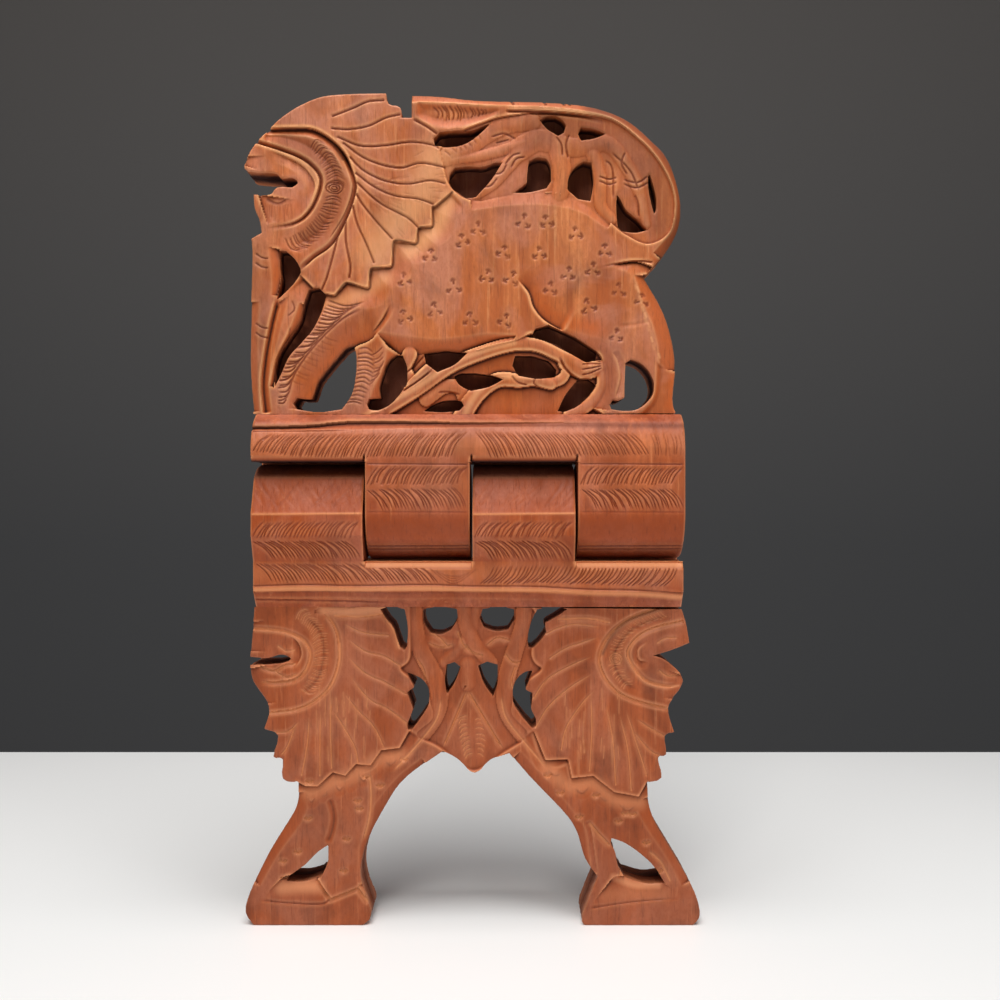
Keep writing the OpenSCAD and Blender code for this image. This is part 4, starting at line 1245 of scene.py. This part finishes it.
def wood(name, light, dark, fresh_cut_and_shade, shade_and_stain, wear_and_highlight, line, dust_and_sheen, gloss):
    """Waxed wood with its grain along Z, coloured by the carving's weights, which paint shade and
    highlights into it.
    """
    s = Shader(name)
    place = s.node("TexCoord").outputs["Object"]
    bands = s.noise(place, (1, 1, 0.12), 90, 3, 1.2)
    streaks = s.noise(place, (1, 1, 0.04), 600, 3, 0.3, 0.6)
    pores = s.range(s.noise(place, (1, 0.3, 0.08), 1500, 1), 0.60, 0.72)
    dust_and_sheen_patches = s.noise(place, (1, 1, 0.8), 34, 4, 0.8, 0.6)
    patches = s.noise(place, (1, 1, 0.6), 24, 3, 0.5)
    stains = s.noise(place, (1, 1, 0.7), 70, 5, 0.3, 0.65)
    fuzz = s.noise(place, (1, 1, 0.5), 900, 3, 0.0, 0.7)
    colour = s.mix(s.range(bands, 0.36, 0.64), srgb(*dark), srgb(*light))
    # Random patches of tone, streaks of grain, patches of dust with a painted sheen, and stains.
    for field, low, high, most, tone in ((patches, 0.35, 0.65, 0.55, fresh_cut_and_shade),
                                         (streaks, 0.42, 0.66, 0.45, dark),
                                         (streaks, 0.40, 0.28, 0.28, wear_and_highlight),
                                         (dust_and_sheen_patches, 0.42, 0.62, 0.6, dust_and_sheen),
                                         (stains, 0.50, 0.75, 0.45, shade_and_stain)):
        colour = s.mix(s.range(field, low, high, 0.0, most), colour, srgb(*tone))
    # Fresh-cut tone, and painted shade where that weight was brushed on.
    colour = s.mix(s.math("MULTIPLY", s.weight("fresh_cut_and_shade"), 0.8), colour, srgb(*fresh_cut_and_shade))
    colour = s.mix(s.range(fuzz, 0.45, 0.7, 0.0, 0.4), colour, srgb(*dark))
    colour = s.mix(s.math("MULTIPLY", pores, 0.2), colour, srgb(*shade_and_stain))
    # Wear and painted highlights, scored lines in the finish's line colour, and painted shade in the
    # hollows.
    for key, most, tone in (("wear_and_highlight", 0.8, wear_and_highlight), ("line", 0.8, line), ("shade_and_stain", 0.95, shade_and_stain)):
        colour = s.mix(s.math("MULTIPLY", s.weight(key), most), colour, srgb(*tone))
    s.put(s.surface.inputs["Base Color"], colour)
    matt = s.math("ADD", s.math("MULTIPLY", s.weight("shade_and_stain"), 0.3),
                  s.range(stains, 0.3, 0.7, gloss, gloss + 0.16))
    s.put(s.surface.inputs["Roughness"], matt)
    s.surface.inputs["Specular IOR Level"].default_value = 0.28
    height = s.math("SUBTRACT", s.math("MULTIPLY", streaks, 0.8), s.math("MULTIPLY", pores, 0.5))
    rough = s.math("ADD", s.math("MULTIPLY", stains, 2.0), s.math("MULTIPLY", fuzz, 0.8))
    height = s.math("ADD", height, rough)
    bump = s.node("Bump", {"Height": height, "Strength": 0.6, "Distance": 0.00018})
    s.put(s.surface.inputs["Normal"], bump.outputs[0])
    return s.material


def plain(name, colour, roughness):
    s = Shader(name)
    s.surface.inputs["Base Color"].default_value = srgb(*colour)
    s.surface.inputs["Roughness"].default_value = roughness
    return s.material


# ---- The stand's pieces

# Colours after the name: light and dark grain, fresh-cut tone, painted shade and stains, wear and painted
# highlights, scored lines (painted shade; painted highlights on the legs), dust with a painted sheen, and
# the least roughness.
finishes = {
    "carved_wood": wood("carved_wood", (208, 126, 74), (162, 86, 46), (192, 90, 30), (50, 12, 5),
                        (244, 178, 122), (108, 44, 20), (194, 128, 104), 0.40),
    "hinge_wood": wood("hinge_wood", (194, 100, 54), (144, 64, 30), (162, 68, 16), (44, 10, 4),
                       (244, 162, 108), (114, 44, 20), (188, 112, 86), 0.40),
    "leg_wood": wood("leg_wood", (186, 96, 52), (144, 70, 36), (166, 74, 26), (48, 14, 7),
                     (230, 154, 108), (224, 148, 98), (174, 104, 76), 0.42),
}


def place_piece(obj, body, node, finish):
    obj.data.materials.append(finishes[finish])
    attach(obj, body)
    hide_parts(node)


def book_panels():
    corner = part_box("front_book_panel")[0]
    joint, mouth = corner[2], (-88, 318, 15)
    behind = flat_outlines("front_book_panel", 1, corner[1])[1:]
    place_piece(carved_panel("front_book_panel", lion_panel, FINE, joint, 0.95, (), mouth),
                "front_leaf", "front_book_panel", "carved_wood")
    place_piece(carved_panel("rear_book_panel", lion_panel_blind, COARSE, joint, 0.95, behind, mouth),
                "rear_leaf", "rear_book_panel", "carved_wood")


def leg_panels():
    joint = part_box("front_leg_panel")[1][2]
    place_piece(carved_panel("front_leg_panel", leg_carving, FINE, joint, 0.5),
                "rear_leaf", "front_leg_panel", "leg_wood")
    place_piece(carved_panel("rear_leg_panel", leg_carving, COARSE, joint, 0.7),
                "front_leaf", "rear_leg_panel", "leg_wood")


def nothing(face, low, high):
    """A side that is left plain."""


def rails():
    parts = (("front_upper_rail", "front_leaf", lipped_upper_rail((1, 3)), nothing, FINEST),
             ("rear_upper_rail", "rear_leaf", nothing, lipped_upper_rail((2, 4)), COARSE),
             ("front_lower_rail", "rear_leaf", lipped_lower_rail((2, 4)), nothing, FINEST),
             ("rear_lower_rail", "front_leaf", nothing, lipped_lower_rail((1, 3)), COARSE))
    for node, body, front, rear, step in parts:
        place_piece(swept_bar(node, front, rear, step), body, node, "hinge_wood")


def knuckles():
    for number in (1, 2, 3, 4):
        node = f"hinge_knuckle_{number}"
        hangs = number % 2 == 0
        front, rear = (held_above, held_below) if hangs else (held_below, held_above)
        place_piece(swept_bar(node, front, rear, FINEST), "front_leaf" if hangs else "rear_leaf", node,
                    "hinge_wood")


# ---- The stage, the lights and the camera

def stage_plane(name, corners, material):
    mesh = bpy.data.meshes.new(name)
    mesh.from_pydata(corners, [], [(0, 1, 2, 3)])
    mesh.materials.append(material)
    obj = bpy.data.objects.new(name, mesh)
    bpy.context.scene.collection.objects.link(obj)


def backdrop_finish():
    """A grey that is a little lighter towards the top."""
    s = Shader("grey_backdrop")
    height = s.node("SeparateXYZ", {0: s.node("TexCoord").outputs["Object"]}).outputs[2]
    s.put(s.surface.inputs["Base Color"], s.mix(s.range(height, 0.1, 1.2), srgb(86, 86, 87),
                                                srgb(110, 106, 103)))
    s.surface.inputs["Roughness"].default_value = 0.9
    return s.material


def stage():
    side, back, wall = 1.2, 0.30, 1.6
    stage_plane("floor", [(-side, -side, 0), (side, -side, 0), (side, back, 0), (-side, back, 0)],
                plain("pale_floor", (246, 246, 245), 0.4))
    stage_plane("backdrop", [(-3, wall, -1.5), (3, wall, -1.5), (3, wall, 2.5), (-3, wall, 2.5)],
                backdrop_finish())


def soft_light(name, place, target, size, power, colour):
    data = bpy.data.lights.new(name, "AREA")
    data.shape = "RECTANGLE"
    data.size, data.size_y = size
    data.energy = power
    data.color = colour
    obj = bpy.data.objects.new(name, data)
    obj.location = place
    obj.rotation_euler = (Vector(target) - Vector(place)).to_track_quat("-Z", "Y").to_euler()
    bpy.context.scene.collection.objects.link(obj)


def lights():
    middle = (0, 0, 0.19)
    soft_light("key", (-0.2, -1.05, 1.3), middle, (0.45, 0.45), 7.2, (1.0, 0.98, 0.95))
    soft_light("top", (0.0, -0.3, 1.25), middle, (0.9, 0.6), 14, (1.0, 0.99, 0.98))
    soft_light("side", (1.1, -0.9, 0.5), middle, (0.5, 0.8), 1.3, (0.92, 0.96, 1.0))
    world = bpy.data.worlds.new("studio")
    bpy.context.scene.world = world
    world.use_nodes = True
    world.node_tree.nodes["Background"].inputs["Color"].default_value = (0.78, 0.79, 0.81, 1)
    world.node_tree.nodes["Background"].inputs["Strength"].default_value = 0.24


def camera():
    data = bpy.data.cameras.new("camera")
    data.lens = 37.8
    data.sensor_width = 36
    data.dof.use_dof = False
    obj = bpy.data.objects.new("camera", data)
    obj.location = (0.012, -0.462, 0.183)
    obj.rotation_euler = (math.pi / 2, 0, 0)
    bpy.context.scene.collection.objects.link(obj)
    bpy.context.scene.camera = obj


bpy.context.scene.view_settings.view_transform = "Standard"
book_panels()
leg_panels()
rails()
knuckles()
stage()
lights()
camera()
bpy.context.view_layer.update()
